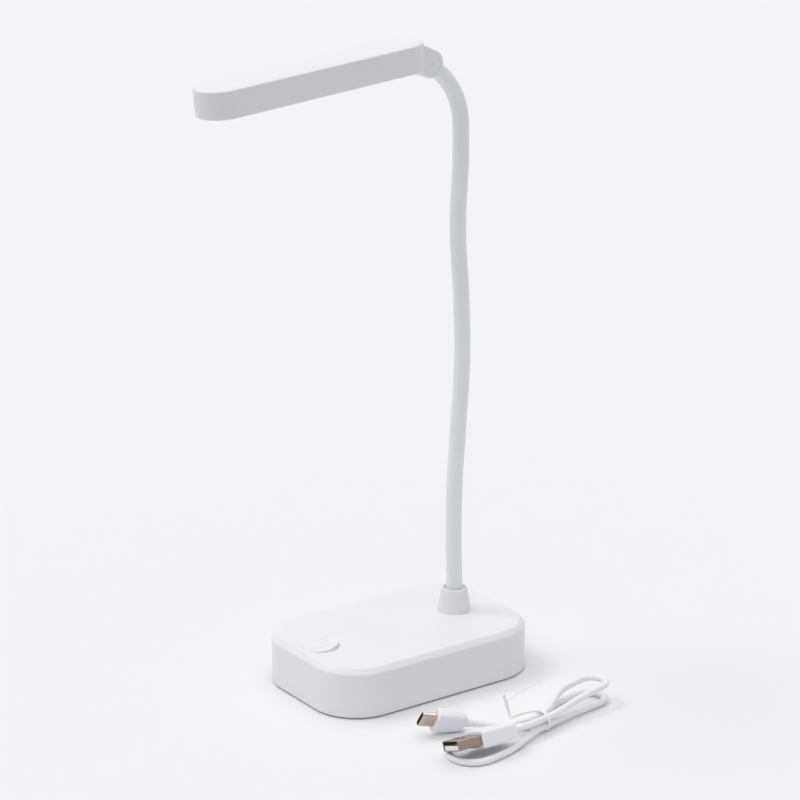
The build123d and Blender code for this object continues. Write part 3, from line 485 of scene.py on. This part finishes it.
def finish_named(name):
    """Finish of that name, made when it is first asked for from what grained takes, in its order."""
    if name in bpy.data.materials:
        return bpy.data.materials[name]
    tones = bpy.context.scene.lamp_colours
    metal, matt, along = {"Metallic": 1.0}, {"Specular IOR Level": 0.32}, (1, 0.08, 1)
    recipes = {
        "matt shell": (tones.shell, 0.012, 2600, (0.33, 0.42), 0.00002, EVEN, matt),
        "smooth key": (tones.shell, 0.012, 1900, (0.34, 0.44), 0.00001, EVEN, matt),
        "silicone sleeve": (tones.sleeve, 0.015, 1500, (0.42, 0.55), 0.00002, EVEN, {"Sheen Weight": 0.15}),
        "soft jacket": (tones.cord, 0.015, 1800, (0.32, 0.45), 0.00002),
        # One plated metal in two tones: painted light on the small plug's shell, painted shade on the large
        # plug's shell.
        "plated shell": (tones.plating, 0.05, 900, (0.16, 0.3), 0.000004, along, metal),
        "plated shell with painted shade": (tones.painted_shade_plating, 0.05, 900, (0.18, 0.32), 0.000004, along, metal),
        "milky window": (tones.window, 0.01, 1200, (0.3, 0.42), 0.00002, EVEN, {"Transmission Weight": 0.45}),
        "covered wire": ((0.93, 0.93, 0.94), 0.02, 2400, (0.3, 0.45), 0.00002),
        "foam pad": ((0.05, 0.05, 0.052), 0.25, 1400, (0.8, 0.95), 0.0002),
        "bright steel": ((0.60, 0.60, 0.62), 0.05, 1500, (0.22, 0.38), 0.00001, EVEN, metal),
        "cast weight": ((0.10, 0.10, 0.105), 0.2, 900, (0.55, 0.75), 0.0001, EVEN, {"Metallic": 0.6}),
        "board white": ((0.8, 0.8, 0.79), 0.02, 1200, (0.35, 0.5), 0.00002),
        "circuit green": ((0.03, 0.16, 0.06), 0.15, 1200, (0.3, 0.45), 0.00002),
        "cell wrap": ((0.05, 0.13, 0.32), 0.08, 700, (0.25, 0.35), 0.00001),
        "black moulding": ((0.02, 0.02, 0.021), 0.2, 1600, (0.4, 0.55), 0.00003),
        "chip phosphor": ((0.85, 0.68, 0.16), 0.08, 2500, (0.35, 0.5), 0.00002),
        "gilt contact": ((0.83, 0.6, 0.25), 0.06, 1500, (0.2, 0.32), 0.000004, EVEN, metal),
    }
    return grained(name, *recipes[name])


def plug_place(mouth, heading, climb, roll):
    """Frame of a plug: origin in its mouth, +Y towards its tail."""
    return (Matrix.Translation(Vector(mouth) * MM) @ Matrix.Rotation(radians(heading), 4, "Z")
            @ Matrix.Rotation(radians(climb), 4, "X") @ Matrix.Rotation(radians(roll), 4, "Y"))


def plug_tail(plug, form):
    """Point and direction, in millimetres, where the cord leaves a plug."""
    place, reach = plug_place(**plug), form["shell"][1] + form["grip"] + form["relief"]
    tail, mouth = place @ Vector((0, reach * MM, 0)) / MM, place.translation / MM
    return tail, (tail - mouth).normalized()


def hank_point(along, side, height):
    """Point in the hank's frame: along its axis to the back, to its right, and up."""
    return Vector((HANK_CENTRE[0] - along * sin(HANK_HEADING) + side * cos(HANK_HEADING),
                   HANK_CENTRE[1] + along * cos(HANK_HEADING) + side * sin(HANK_HEADING), height))


def ease(share):
    """Smooth step from 0 to 1."""
    share = min(1.0, max(0.0, share))
    return share * share * (3 - 2 * share)


def hank_loop(out_slot, back_slot, way, reach, radius, middle, height, spread):
    """Function of 0..1 round one loop: out along a leg, round the fold and back to the waist.

    A slot is the side and height of a leg at the waist, reach and radius belong to the fold, middle is the
    fold's offset to the side, and spread the share of a leg by which it has moved there.
    """
    straight = reach - radius
    turn = 1 if out_slot[0] < back_slot[0] else -1

    def leg(slot, share, side):
        sideways = slot[0] + (middle + side * radius - slot[0]) * ease(share / spread)
        rise = slot[1] + (height - slot[1]) * ease(share)
        return hank_point(way * share * straight, sideways, rise)

    def point(share):
        if share < 1 / 3:
            return leg(out_slot, 3 * share, -turn)
        if share > 2 / 3:
            return leg(back_slot, 3 - 3 * share, turn)
        angle = (3 * share - 1) * pi
        along, sideways = straight + radius * sin(angle), middle - turn * radius * cos(angle)
        return hank_point(way * along, sideways, height)

    return point


def cord_route():
    """Points of the whole cord in metres, from the small plug to the large one."""
    low_left, low_right = (-HANK_STEP / 2, HANK_LOW), (HANK_STEP / 2, HANK_LOW)
    high_left, high_right = [(side, height + HANK_STEP) for side, height in (low_left, low_right)]
    slots = ((low_left, low_right), (low_right, high_left), (high_left, high_right))
    loops = [hank_loop(out, back, **loop) for (out, back), loop in zip(slots, HANK_LOOPS)]
    start, start_way = plug_tail(SMALL_PLUG, SMALL_FORM)
    end, end_way = plug_tail(LARGE_PLUG, LARGE_FORM)
    points = [start, start + start_way * 2 * CORD_RADIUS]
    points += [Vector(point) for point in LEAD_POINTS]
    for loop in loops:
        points += [loop(step / LOOP_STEPS) for step in range(LOOP_STEPS)]
    points += [loops[-1](1), end + end_way * 2 * CORD_RADIUS, end]
    return [point * MM for point in points]


def wire(name, points, diameter):
    """Round wire along a smooth line through its points."""
    line = bpy.data.curves.new(name, "CURVE")
    line.dimensions = "3D"
    line.bevel_depth = diameter / 2
    line.bevel_resolution = 5
    line.resolution_u = 8
    line.use_fill_caps = True
    spline = line.splines.new("NURBS")
    spline.points.add(len(points) - 1)
    for point, place in zip(spline.points, points):
        point.co = (*place, 1)
    spline.order_u = 3
    spline.use_endpoint_u = True
    piece = bpy.data.objects.new(name, line)
    bpy.context.scene.collection.objects.link(piece)
    return piece


def outermost(edge):
    """Test for an edge on the base's outline."""
    return all(near(abs(vertex.co.x), BASE_HIGH.x) or near(abs(vertex.co.y), BASE_HIGH.y)
               or corner_reach(vertex.co) for vertex in edge.verts)


def corner_reach(point):
    """Whether a point lies on one of the base's round corners."""
    corner = bpy.context.scene.lamp_base.corner
    reach = Vector((abs(point.x) - BASE_HIGH.x + corner, abs(point.y) - BASE_HIGH.y + corner))
    return near(reach.length, corner) and min(reach) >= -0.01 * MM


def along_ring(edge):
    """Test for an edge that runs round the Z axis."""
    return near(edge.verts[0].co.xy.length, edge.verts[1].co.xy.length)


def neck_ring(index, share):
    """Centre and lean at a share along one link of the neck."""
    start, turn = radians(NECK_LEAN + sum(NECK_TURNS[:index])), radians(NECK_TURNS[index])
    lean, radius = start + turn * share, NECK_LINK / turn
    bend = Vector((0, radius * (cos(start) - cos(lean)), radius * (sin(lean) - sin(start))))
    return STATIONS[index] + bend, lean


def swept(name, rings, radius, sides):
    """Round tube through rings, each a centre and a lean to the back, with both ends filled."""
    deselect()
    centre, lean = rings[0]
    bpy.ops.mesh.primitive_circle_add(vertices=sides, radius=radius, location=centre, rotation=(-lean, 0, 0))
    shape(name)
    bpy.ops.mesh.select_mode(type="EDGE")
    bpy.ops.mesh.select_all(action="SELECT")
    for next_centre, next_lean in rings[1:]:
        extrude(next_centre - centre)
        bpy.ops.transform.rotate(value=next_lean - lean, orient_axis="X", center_override=next_centre)
        centre, lean = next_centre, next_lean
    bpy.ops.mesh.select_all(action="SELECT")
    bpy.ops.mesh.fill_holes(sides=0)
    return finish_mesh(angle=50.0)


def round_bar(name, width, length, low, high, sides=80):
    """Plate with half-round ends about the Z axis, along Y, left in edit mode."""
    deselect()
    radius = width / 2 / cos(pi / sides)
    bpy.ops.mesh.primitive_cylinder_add(vertices=sides, radius=radius, depth=high - low,
                                        location=(0, 0, (low + high) / 2), rotation=(0, 0, pi / sides))
    piece = shape(name)
    for way in (-1, 1):
        pick("VERT", lambda vertex: way * vertex.co.y > 0)
        bpy.ops.transform.translate(value=(0, way * (length - width) / 2, 0))
    return piece


def head_form(name, sizes):
    """Outside of the head's bar about its own middle, underside at Z = 0, left in edit mode."""
    shoulder = sizes.height - sizes.border_rise
    piece = round_bar(name, sizes.width, sizes.length, 0, shoulder)
    pick("FACE", level(shoulder))
    bpy.ops.mesh.inset(thickness=sizes.border)
    bpy.ops.transform.translate(value=(0, 0, sizes.border_rise))
    round_edges(level(sizes.height), sizes.crown, 6)
    round_edges(level(shoulder), sizes.upper_edge, 4)
    round_edges(level(0), sizes.lower_edge, 4)
    return piece


def plug_shell(name, form):
    """Plated tube of a plug, open at its mouth, along +Y."""
    size = tuple(side * MM for side in form["shell"])
    depth, corner = size[1], form["corner"] * MM
    cuboid(name, (0, depth / 2, 0), size)
    round_edges(lengthwise(depth / 2), corner, 6)
    pick("FACE", lambda face: face.normal.y < -0.9)
    bpy.ops.mesh.inset(thickness=form["wall"] * MM)
    extrude((0, depth - SHELL_BACK * MM, 0))
    round_edges(lambda edge: across(0)(edge) and outer_rim(edge, size, corner), MOUTH_EDGE * MM, 2)
    return finish_mesh(weighted=True)


def outer_rim(edge, size, corner):
    """Test for an edge on the outside of a plug's mouth."""
    def outside(point):
        reach = Vector((abs(point.x) - size[0] / 2 + corner, abs(point.z) - size[2] / 2 + corner))
        return near(max(reach), corner) or min(reach) > 0 and near(reach.length, corner)
    return all(outside(vertex.co) for vertex in edge.verts)


def plug_grip(name, form):
    """Tapered moulding of a plug with rounded edges, along +Y."""
    start, depth, front, back = form["shell"][1], form["grip"], form["front"], form["back"]
    cuboid(name, (0, (start + depth / 2) * MM, 0), (front[0] * MM, depth * MM, front[1] * MM))
    for share, taper in GRIP_TAPER[:-1]:
        bpy.ops.mesh.select_all(action="SELECT")
        bpy.ops.mesh.bisect(plane_co=(0, (start + share * depth) * MM, 0), plane_no=(0, 1, 0))
    for share, taper in GRIP_TAPER:
        place = (start + share * depth) * MM
        narrower, lower = [1 + taper * (back[axis] / front[axis] - 1) for axis in (0, 1)]
        pick("VERT", lambda vertex: near(vertex.co.y, place))
        bpy.ops.transform.resize(value=(narrower, 1, lower), center_override=(0, place, 0))
    round_edges(lengthwise(0.1 * depth * MM), form["edge"] * MM, 8)
    round_edges(across((start + depth) * MM), GRIP_TAIL_EDGE * MM, 5)
    round_edges(across(start * MM), GRIP_LIP * MM, 4)
    return finish_mesh(angle=40, weighted=True)


def plug_relief(name, form):
    """Ringed sleeve where the cord leaves a plug, along +Y; its profile is in millimetres."""
    start, depth = form["shell"][1] + form["grip"], form["relief"]
    profile = [(RELIEF_ROOT, start - 0.5), (RELIEF_ROOT, start + 0.5)]
    pitch = (depth - 1.3) / RELIEF_RINGS
    for step in range(RELIEF_RINGS):
        at, radius = start + 0.5 + step * pitch, RELIEF_RADIUS - RELIEF_STEP * step
        groove = radius - RELIEF_GROOVE
        profile += [(groove, at + 0.15), (groove, at + 0.5), (radius - 0.02, at + 0.7),
                    (radius - 0.06, at + pitch - 0.05)]
    profile += [(CORD_RADIUS + 0.12, start + depth - 0.15), (CORD_RADIUS + 0.02, start + depth)]
    turned(name, [(radius * MM, height * MM) for radius, height in profile], sides=48)
    piece = finish_mesh(angle=50)
    return put(piece, Matrix.Rotation(radians(-90), 4, "X"))


class LAMP_OT_base_case(bpy.types.Operator):
    """Model the base's hollow case with its bevel, key hole, neck hole and charging port"""
    bl_idname = "lamp.base_case"
    bl_label = "Base case"

    def execute(self, context):
        sizes, head = context.scene.lamp_base, context.scene.lamp_head
        low, high = BASE_LOW.z, BASE_HIGH.z
        piece = slab("base_case", BASE_HIGH.x - BASE_LOW.x, BASE_HIGH.y - BASE_LOW.y, sizes.corner,
                     low, high, 24)
        round_edges(level(high), sizes.bevel, 1)
        round_edges(lambda edge: level(high)(edge) or level(high - sizes.bevel)(edge), sizes.softness, 4)
        pick("FACE", level(low))
        bpy.ops.mesh.inset(thickness=sizes.wall)
        extrude((0, 0, high - sizes.roof - low))
        round_edges(lambda edge: level(low)(edge) and outermost(edge), sizes.lower_edge, 3)
        finish_mesh()
        key_at = KEY_AT + Vector((0, 0, high))
        neck_at = Vector((STATIONS[0].x, STATIONS[0].y, high))
        up, through = (0, 0, 1), 4 * sizes.roof
        cut(piece, rod("key_hole", key_at, up, through, sizes.key_radius + sizes.key_gap, 96))
        cut(piece, rod("neck_hole", neck_at, up, through, head.sleeve_radius + SLEEVE_GAP, 64))
        port_low, port_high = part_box("charge_socket")
        port = slab("port", port_high.x - port_low.x + PORT_GAP, port_high.z - port_low.z + PORT_GAP,
                    PORT_CORNER, -2 * sizes.wall, 2 * sizes.wall, 8)
        bpy.ops.object.mode_set(mode="OBJECT")
        port_at = Vector((0, BASE_HIGH.y, (port_low.z + port_high.z) / 2))
        put(port, Matrix.Translation(port_at) @ Matrix.Rotation(radians(90), 4, "X"))
        cut(piece, port)
        bpy.ops.object.mode_set(mode="EDIT")
        finish_mesh(weighted=True)
        dress(piece, "base", "matt shell", "white_shell", "base_shell")
        return {"FINISHED"}


class LAMP_OT_power_key(bpy.types.Operator):
    """Model the power key with its sloping top and the raised mark on it"""
    bl_idname = "lamp.power_key"
    bl_label = "Power key"

    def execute(self, context):
        sizes = context.scene.lamp_base
        under, radius = BASE_HIGH.z - sizes.roof, sizes.key_radius
        front, back = BASE_HIGH.z + sizes.key_front, BASE_HIGH.z + sizes.key_back
        slope = (back - front) / (2 * radius)
        middle = Vector((0, 0, (front + back) / 2))
        flange, low, high = radius + KEY_FLANGE, under - FLANGE_LOW, under - FLANGE_HIGH
        piece = turned("power_key", [(KEY_STEM, KEY_LOW.z), (KEY_STEM, low), (flange, low), (flange, high),
                                     (radius, high), (radius, back + 2 * MM)])
        bpy.ops.mesh.select_all(action="SELECT")
        bpy.ops.mesh.bisect(plane_co=middle, plane_no=Vector((0, -slope, 1)).normalized(), use_fill=True,
                            clear_outer=True)
        pick("FACE", lambda face: face.normal.z > 0.9 and face.calc_center_median().z > BASE_HIGH.z)
        bpy.ops.mesh.region_to_loop()
        bpy.ops.mesh.bevel(offset=sizes.key_edge, segments=4, affect="EDGES")
        finish_mesh(weighted=True)
        put(piece, Matrix.Translation(KEY_AT))
        dress(piece, "button", "smooth key", "white_gloss", "power_button")

        lift, width, reach = sizes.mark_lift, sizes.mark_width, sizes.mark_radius
        inner, shoulder = reach - width, lift * 0.7
        mark = turned("power_mark", [(inner, -lift), (inner, shoulder), (reach - 0.7 * width, lift),
                                     (reach - 0.3 * width, lift), (reach, shoulder), (reach, -lift)],
                      ring=True)
        finish_mesh()
        cut(mark, block("mark_gap", (0, reach, 0), (4.5 * width, 2 * width + reach / 2, 6 * lift)))
        bar = cuboid("mark_bar", (0, reach * 0.75, 0), (width, reach, 2 * lift))
        round_edges(level(lift), 0.3 * width, 2)
        finish_mesh()
        alone(mark)
        bar.select_set(True)
        bpy.ops.object.join()
        tip = Vector((0, 0, 1)).rotation_difference(Vector((0, -slope, 1)))
        put(mark, Matrix.Translation(KEY_AT + middle) @ tip.to_matrix().to_4x4())
        dress(mark, "button", "smooth key", "white_gloss")
        return {"FINISHED"}


class LAMP_OT_collar(bpy.types.Operator):
    """Model the collar at the foot of the neck and the stud inside it"""
    bl_idname = "lamp.collar"
    bl_label = "Collar"

    def execute(self, context):
        sizes, sleeve = context.scene.lamp_base, context.scene.lamp_head.sleeve_radius
        low, high = COLLAR_LOW.z, COLLAR_HIGH.z
        floor, bore, seat = high - sizes.collar_recess, sleeve + SLEEVE_GAP, low + SEAT_HEIGHT
        top, lip = sizes.collar_top, sizes.collar_top - sizes.collar_rim
        foot = (COLLAR_HIGH.x - COLLAR_LOW.x) / 2
        step = seat + SEAT_GAP
        piece = turned("collar", [(foot, low), (top, high), (lip, high), (lip, floor), (bore, floor),
                                  (bore, step), (COLLAR_SEAT, step), (COLLAR_SEAT, low)], ring=True)
        round_edges(lambda edge: level(high)(edge) and along_ring(edge), RIM_EDGE, 4)
        finish_mesh(weighted=True)
        at = Matrix.Translation(Vector((STATIONS[0].x, STATIONS[0].y, 0)))
        put(piece, at)
        dress(piece, "base", "matt shell", "white_shell", "neck_collar")

        flange = COLLAR_SEAT - SEAT_GAP
        stud = turned("neck_stud", [(sleeve, ROOT_LOW.z), (sleeve, low), (flange, low), (flange, seat),
                                    (sleeve, seat), (sleeve, floor)])
        round_edges(lambda edge: level(ROOT_LOW.z)(edge) and along_ring(edge), STUD_EDGE, 2)
        finish_mesh()
        put(stud, at)
        dress(stud, "base", "silicone sleeve", "sleeve", "neck_root")
        return {"FINISHED"}


class LAMP_OT_neck(bpy.types.Operator):
    """Model the neck's sleeve in eight stretches, each across one bend"""
    bl_idname = "lamp.neck"
    bl_label = "Neck sleeve"

    def execute(self, context):
        sizes = context.scene.lamp_head
        recess = context.scene.lamp_base.collar_recess
        foot = Vector((STATIONS[0].x, STATIONS[0].y, COLLAR_HIGH.z - recess))
        for index, station in enumerate(STATIONS):
            if index == 0:
                rings = [(foot.lerp(station, share), 0.0) for share in (0.0, 0.25, 0.5, 0.75)]
            else:
                rings = [neck_ring(index - 1, share / 16) for share in range(8, 16)]
            end = sizes.sleeve_end if index == len(STATIONS) - 1 else 0.5
            steps = round(32 * end)
            rings += [neck_ring(index, end * step / steps) for step in range(steps + 1)]
            if index == 0:
                rings[4] = (station, radians(NECK_LEAN) / 2)
            piece = swept(f"neck_sleeve_{index + 1}", rings, sizes.sleeve_radius, sizes.sleeve_sides)
            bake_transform(piece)
            dress(piece, None, "silicone sleeve", "sleeve", f"neck_link_{index + 1}")
        return {"FINISHED"}


class LAMP_OT_head_case(bpy.types.Operator):
    """Model the head's hollow bar and the milky window under it"""
    bl_idname = "lamp.head_case"
    bl_label = "Head case"

    def execute(self, context):
        sizes = context.scene.lamp_head
        piece = head_form("head_case", sizes)
        pick("FACE", level(0))
        bpy.ops.mesh.inset(thickness=sizes.wall - sizes.lower_edge)
        extrude((0, 0, sizes.height - sizes.roof))
        finish_mesh(weighted=True)
        put(piece, HEAD_PLACE @ HEAD_MIDDLE)
        dress(piece, "head", "matt shell", "white_shell", "head_housing")

        inset = sizes.wall + WINDOW_GAP
        width, length = sizes.width - 2 * inset, sizes.length - 2 * inset
        window = round_bar("light_window", width, length, 0, sizes.window)
        round_edges(level(0), WINDOW_EDGE, 4)
        finish_mesh(weighted=True)
        put(window, HEAD_PLACE @ HEAD_MIDDLE)
        dress(window, "head", "milky window", "diffuser", "head_diffuser")
        return {"FINISHED"}


class LAMP_OT_knuckle(bpy.types.Operator):
    """Model the forked knuckle that carries the head on the hinge pin"""
    bl_idname = "lamp.knuckle"
    bl_label = "Knuckle"

    def execute(self, context):
        half, pin_way = KNUCKLE_WIDTH / 2, (1, 0, 0)
        deselect()
        bpy.ops.mesh.primitive_cylinder_add(vertices=72, radius=KNUCKLE_RADIUS, depth=KNUCKLE_WIDTH,
                                            rotation=(0, radians(90), 0))
        piece = shape("knuckle")
        bpy.ops.mesh.primitive_cube_add(size=1, location=KNUCKLE_BLOCK_AT, scale=KNUCKLE_BLOCK_SIZE)
        bpy.ops.mesh.select_all(action="SELECT")
        bpy.ops.mesh.convex_hull()
        bpy.ops.mesh.dissolve_limited(angle_limit=radians(1))
        round_edges(lambda edge: all(near(abs(vertex.co.x), half) for vertex in edge.verts)
                    and near(edge.verts[0].co.x, edge.verts[1].co.x), KNUCKLE_EDGE, 5)
        finish_mesh()
        bar = head_form("head_bar", context.scene.lamp_head)
        finish_mesh()
        cut(piece, put(bar, HEAD_MIDDLE))
        slot_at = SLOT_REACH / 2 - PIN_BACK
        cut(piece, block("slot", (0, slot_at, -slot_at), (KNUCKLE_SLOT, SLOT_REACH, SLOT_REACH)))
        for side in (-half, half):
            cut(piece, rod("dimple", (side, 0, 0), pin_way, DIMPLE_LENGTH, DIMPLE_RADIUS, 48))
        # The pin ends behind a thin skin, so it doesn't show in the dimples
        cut(piece, rod("pin_hole", (0, 0, 0), pin_way, KNUCKLE_WIDTH - PIN_COVER, PIN_HOLE, 32))
        bpy.ops.object.mode_set(mode="EDIT")
        finish_mesh(weighted=True)
        put(piece, HEAD_PLACE)
        dress(piece, "head", "matt shell", "white_shell", "head_fork")
        return {"FINISHED"}


class LAMP_OT_plugs(bpy.types.Operator):
    """Model both plugs: plated shells, moulded grips, ringed reliefs and the large plug's contacts"""
    bl_idname = "lamp.plugs"
    bl_label = "Plugs"

    def execute(self, context):
        large = plug_place(**LARGE_PLUG)
        # The small plug's shell takes the lighter plating (painted light) and the large plug's the darker
        # plating (painted shade).
        plugs = (("small", plug_place(**SMALL_PLUG), SMALL_FORM, "plated shell"),
                 ("large", large, LARGE_FORM, "plated shell with painted shade"))
        for size, place, form, plating in plugs:
            shell = plug_shell(f"{size}_shell", form)
            if size == "large":
                latch = tuple(side * MM for side in LATCH_SIZE)
                for side in LATCH_SIDES:
                    cut(shell, block("latch", (side * MM, LATCH_AT * MM, 0), latch))
                bpy.ops.object.mode_set(mode="EDIT")
                finish_mesh(weighted=True)
            put(shell, place)
            dress(shell, "cable", plating, "nickel", f"{size}_plug_shell")
            grip = put(plug_grip(f"{size}_grip", form), place)
            dress(grip, "cable", "soft jacket", "cord", f"{size}_plug_moulding")
            boot = put(plug_relief(f"{size}_relief", form), place)
            dress(boot, "cable", "soft jacket", "cord", f"{size}_plug_relief")

        top = (-LARGE_FORM["shell"][2] / 2 + LARGE_FORM["wall"] + INSERT_DEPTH) * MM
        contact = cuboid("contact_1", (0, CONTACT_AT * MM, top), tuple(side * MM for side in CONTACT_SIZE))
        round_edges(level(top + CONTACT_SIZE[2] / 2 * MM), CONTACT_EDGE * MM, 2)
        finish_mesh()
        for step, side in enumerate(CONTACT_SIDES, 2):
            copy = bpy.data.objects.new(f"contact_{step}", contact.data.copy())
            context.scene.collection.objects.link(copy)
            put(copy, large @ Matrix.Translation((side * MM, 0, 0)))
            dress(copy, "cable", "gilt contact", "nickel")
        bpy.data.objects.remove(contact)
        return {"FINISHED"}


class LAMP_OT_cable(bpy.types.Operator):
    """Lay the charging cord in its tied hank and bend the wire tie round it"""
    bl_idname = "lamp.cable"
    bl_label = "Charging cord"

    def execute(self, context):
        sizes, route = context.scene.lamp_cable, cord_route()
        cord = wire("charging_cord", route, sizes.diameter)
        dress(cord, "cable", "soft jacket", "cord", "cable_hank")
        half, middle = (HANK_STEP / 2 + CORD_RADIUS + TIE_GAP) * TIE_SLACK, HANK_LOW + HANK_STEP / 2
        turns = []
        for step in range(-1, 10):
            side, rise = TIE_CORNERS[step % len(TIE_CORNERS)]
            turns.append(hank_point(TIE_START - TIE_PITCH * step, side * half, middle + rise * half) * MM)
        ring = wire("tie_ring", turns, sizes.tie)
        dress(ring, "cable", "covered wire", "tie", "twist_tie")
        tail = wire("tie_tail", [Vector(point) * MM for point in TIE_TAIL], sizes.tie)
        dress(tail, "cable", "covered wire", "tie")
        bare = wire("tie_end", [Vector(point) * MM for point in TIE_END], sizes.tail)
        dress(bare, "cable", "bright steel", "steel")
        names = [f"{size}_{part}" for size in ("small", "large") for part in ("shell", "grip", "relief")]
        names += ["tie_ring", "tie_tail", "tie_end"]
        names += [f"contact_{step}" for step, side in enumerate(CONTACT_SIDES, 2)]
        return {"FINISHED"}


class LAMP_OT_inner_parts(bpy.types.Operator):
    """Give the solids that show as they are, such as the screws and boards, their finishes"""
    bl_idname = "lamp.inner_parts"
    bl_label = "Inner parts"

    def execute(self, context):
        finishes = {
            "matt shell": ["base_cover", "neck_tongue"],
            "foam pad": ["anti_slip_pad"],
            "bright steel": ["cover_screws", "board_screws", "light_screws", "fork_screws", "hinge_pin",
                             "neck_washer", "neck_nut"],
            "cast weight": ["ballast_plate"],
            "plated shell": ["charge_socket"],
            "circuit green": ["control_board", "charge_board"],
            "board white": ["light_board"],
            "cell wrap": ["battery_cell"],
            "black moulding": ["battery_cradle", "tact_switch", "switch_plunger"],
            "chip phosphor": ["light_chips"],
            "soft jacket": ["large_plug_insert"],
        }
        for finish, names in finishes.items():
            for name in names:
                solid = frame["nodes"][name]
                solid.data.materials.clear()
                solid.data.materials.append(finish_named(finish))
        return {"FINISHED"}


class LAMP_OT_stage(bpy.types.Operator):
    """Set up the camera, the pale floor, the backdrop and the two lights"""
    bl_idname = "lamp.stage"
    bl_label = "Stage"

    def execute(self, context):
        scene, settings = context.scene, context.scene.lamp_stage
        deselect()
        bpy.ops.mesh.primitive_plane_add(size=settings.floor, location=FLOOR_AT, rotation=(0, 0, FLOOR_TURN))
        ground = context.object
        ground.name = ground.data.name = "ground"
        ground.data.materials.append(grained("pale floor", scene.lamp_colours.floor, spread=0.002, grain=400,
                                             rough=(0.75, 0.85), relief=0.00001,
                                             sockets={"Specular IOR Level": 0.1}))

        world = bpy.data.worlds.new("studio")
        world.use_nodes = True
        tree = world.node_tree
        sky, backdrop = tree.nodes["Background"], node(tree, "ShaderNodeBackground")
        sky.inputs["Color"].default_value = (1.0, 1.0, 1.0, 1)
        sky.inputs["Strength"].default_value = settings.sky
        backdrop.inputs["Color"].default_value = (*scene.lamp_colours.backdrop, 1)
        # What is seen straight on, in a reflection or through a clear piece is the pale backdrop
        rays = node(tree, "ShaderNodeLightPath")
        seen = rays.outputs["Is Camera Ray"]
        for kind in ("Is Glossy Ray", "Is Transmission Ray"):
            either = node(tree, "ShaderNodeMath", operation="MAXIMUM")
            tree.links.new(seen, either.inputs[0])
            tree.links.new(rays.outputs[kind], either.inputs[1])
            seen = either.outputs["Value"]
        choice = node(tree, "ShaderNodeMixShader")
        tree.links.new(seen, choice.inputs["Fac"])
        tree.links.new(sky.outputs["Background"], choice.inputs[1])
        tree.links.new(backdrop.outputs["Background"], choice.inputs[2])
        tree.links.new(choice.outputs["Shader"], tree.nodes["World Output"].inputs["Surface"])
        scene.world = world
        for name, place, strength, size in (("soft_light", SOFT_FROM, settings.soft, settings.soft_size),
                                            ("side_light", SIDE_FROM, settings.side, settings.side_size)):
            turn = Vector(place).to_track_quat("Z", "Y").to_euler()
            bpy.ops.object.light_add(type="SUN", location=place, rotation=turn)
            light = context.object
            light.name = light.data.name = name
            light.data.energy, light.data.angle = strength, size

        lens = bpy.data.cameras.new("view")
        lens.lens, lens.sensor_width = settings.lens, SENSOR_WIDTH
        lens.clip_end = 100
        camera = bpy.data.objects.new("view", lens)
        scene.collection.objects.link(camera)
        camera.matrix_world = Matrix.Translation(CAMERA_AT) @ Matrix(CAMERA_AXES).transposed().to_4x4()
        scene.camera = camera
        scene.view_settings.view_transform = "Standard"
        return {"FINISHED"}


class LAMP_PT_pieces(bpy.types.Panel):
    """Pieces of the lamp and their settings"""
    bl_idname = "LAMP_PT_pieces"
    bl_label = "Desk lamp"
    bl_space_type = "VIEW_3D"
    bl_region_type = "UI"
    bl_category = "Desk Lamp"

    def draw(self, context):
        for name in SETTINGS:
            group = getattr(context.scene, name)
            box = self.layout.box()
            for item in group.bl_rna.properties:
                if item.identifier not in ("rna_type", "name"):
                    box.prop(group, item.identifier)
        for operator in OPERATORS:
            self.layout.operator(operator.bl_idname)


SETTINGS = {"lamp_base": LampBaseSizes, "lamp_head": LampHeadSizes, "lamp_cable": LampCableSizes,
            "lamp_colours": LampColours, "lamp_stage": LampStage}
OPERATORS = [LAMP_OT_base_case, LAMP_OT_power_key, LAMP_OT_collar, LAMP_OT_neck, LAMP_OT_head_case,
             LAMP_OT_knuckle, LAMP_OT_plugs, LAMP_OT_cable, LAMP_OT_inner_parts, LAMP_OT_stage]


def register():
    for group in SETTINGS.values():
        bpy.utils.register_class(group)
    for name, group in SETTINGS.items():
        setattr(bpy.types.Scene, name, PointerProperty(type=group))
    for operator in OPERATORS:
        bpy.utils.register_class(operator)
    bpy.utils.register_class(LAMP_PT_pieces)


def unregister():
    bpy.utils.unregister_class(LAMP_PT_pieces)
    for operator in reversed(OPERATORS):
        bpy.utils.unregister_class(operator)
    for name, group in SETTINGS.items():
        delattr(bpy.types.Scene, name)
        bpy.utils.unregister_class(group)


def main():
    """Builds every piece in order."""
    register()
    bpy.ops.lamp.base_case()
    bpy.ops.lamp.power_key()
    bpy.ops.lamp.collar()
    bpy.ops.lamp.neck()
    bpy.ops.lamp.head_case()
    bpy.ops.lamp.knuckle()
    bpy.ops.lamp.plugs()
    bpy.ops.lamp.cable()
    bpy.ops.lamp.inner_parts()
    bpy.ops.lamp.stage()


if __name__ == "__main__":
    main()
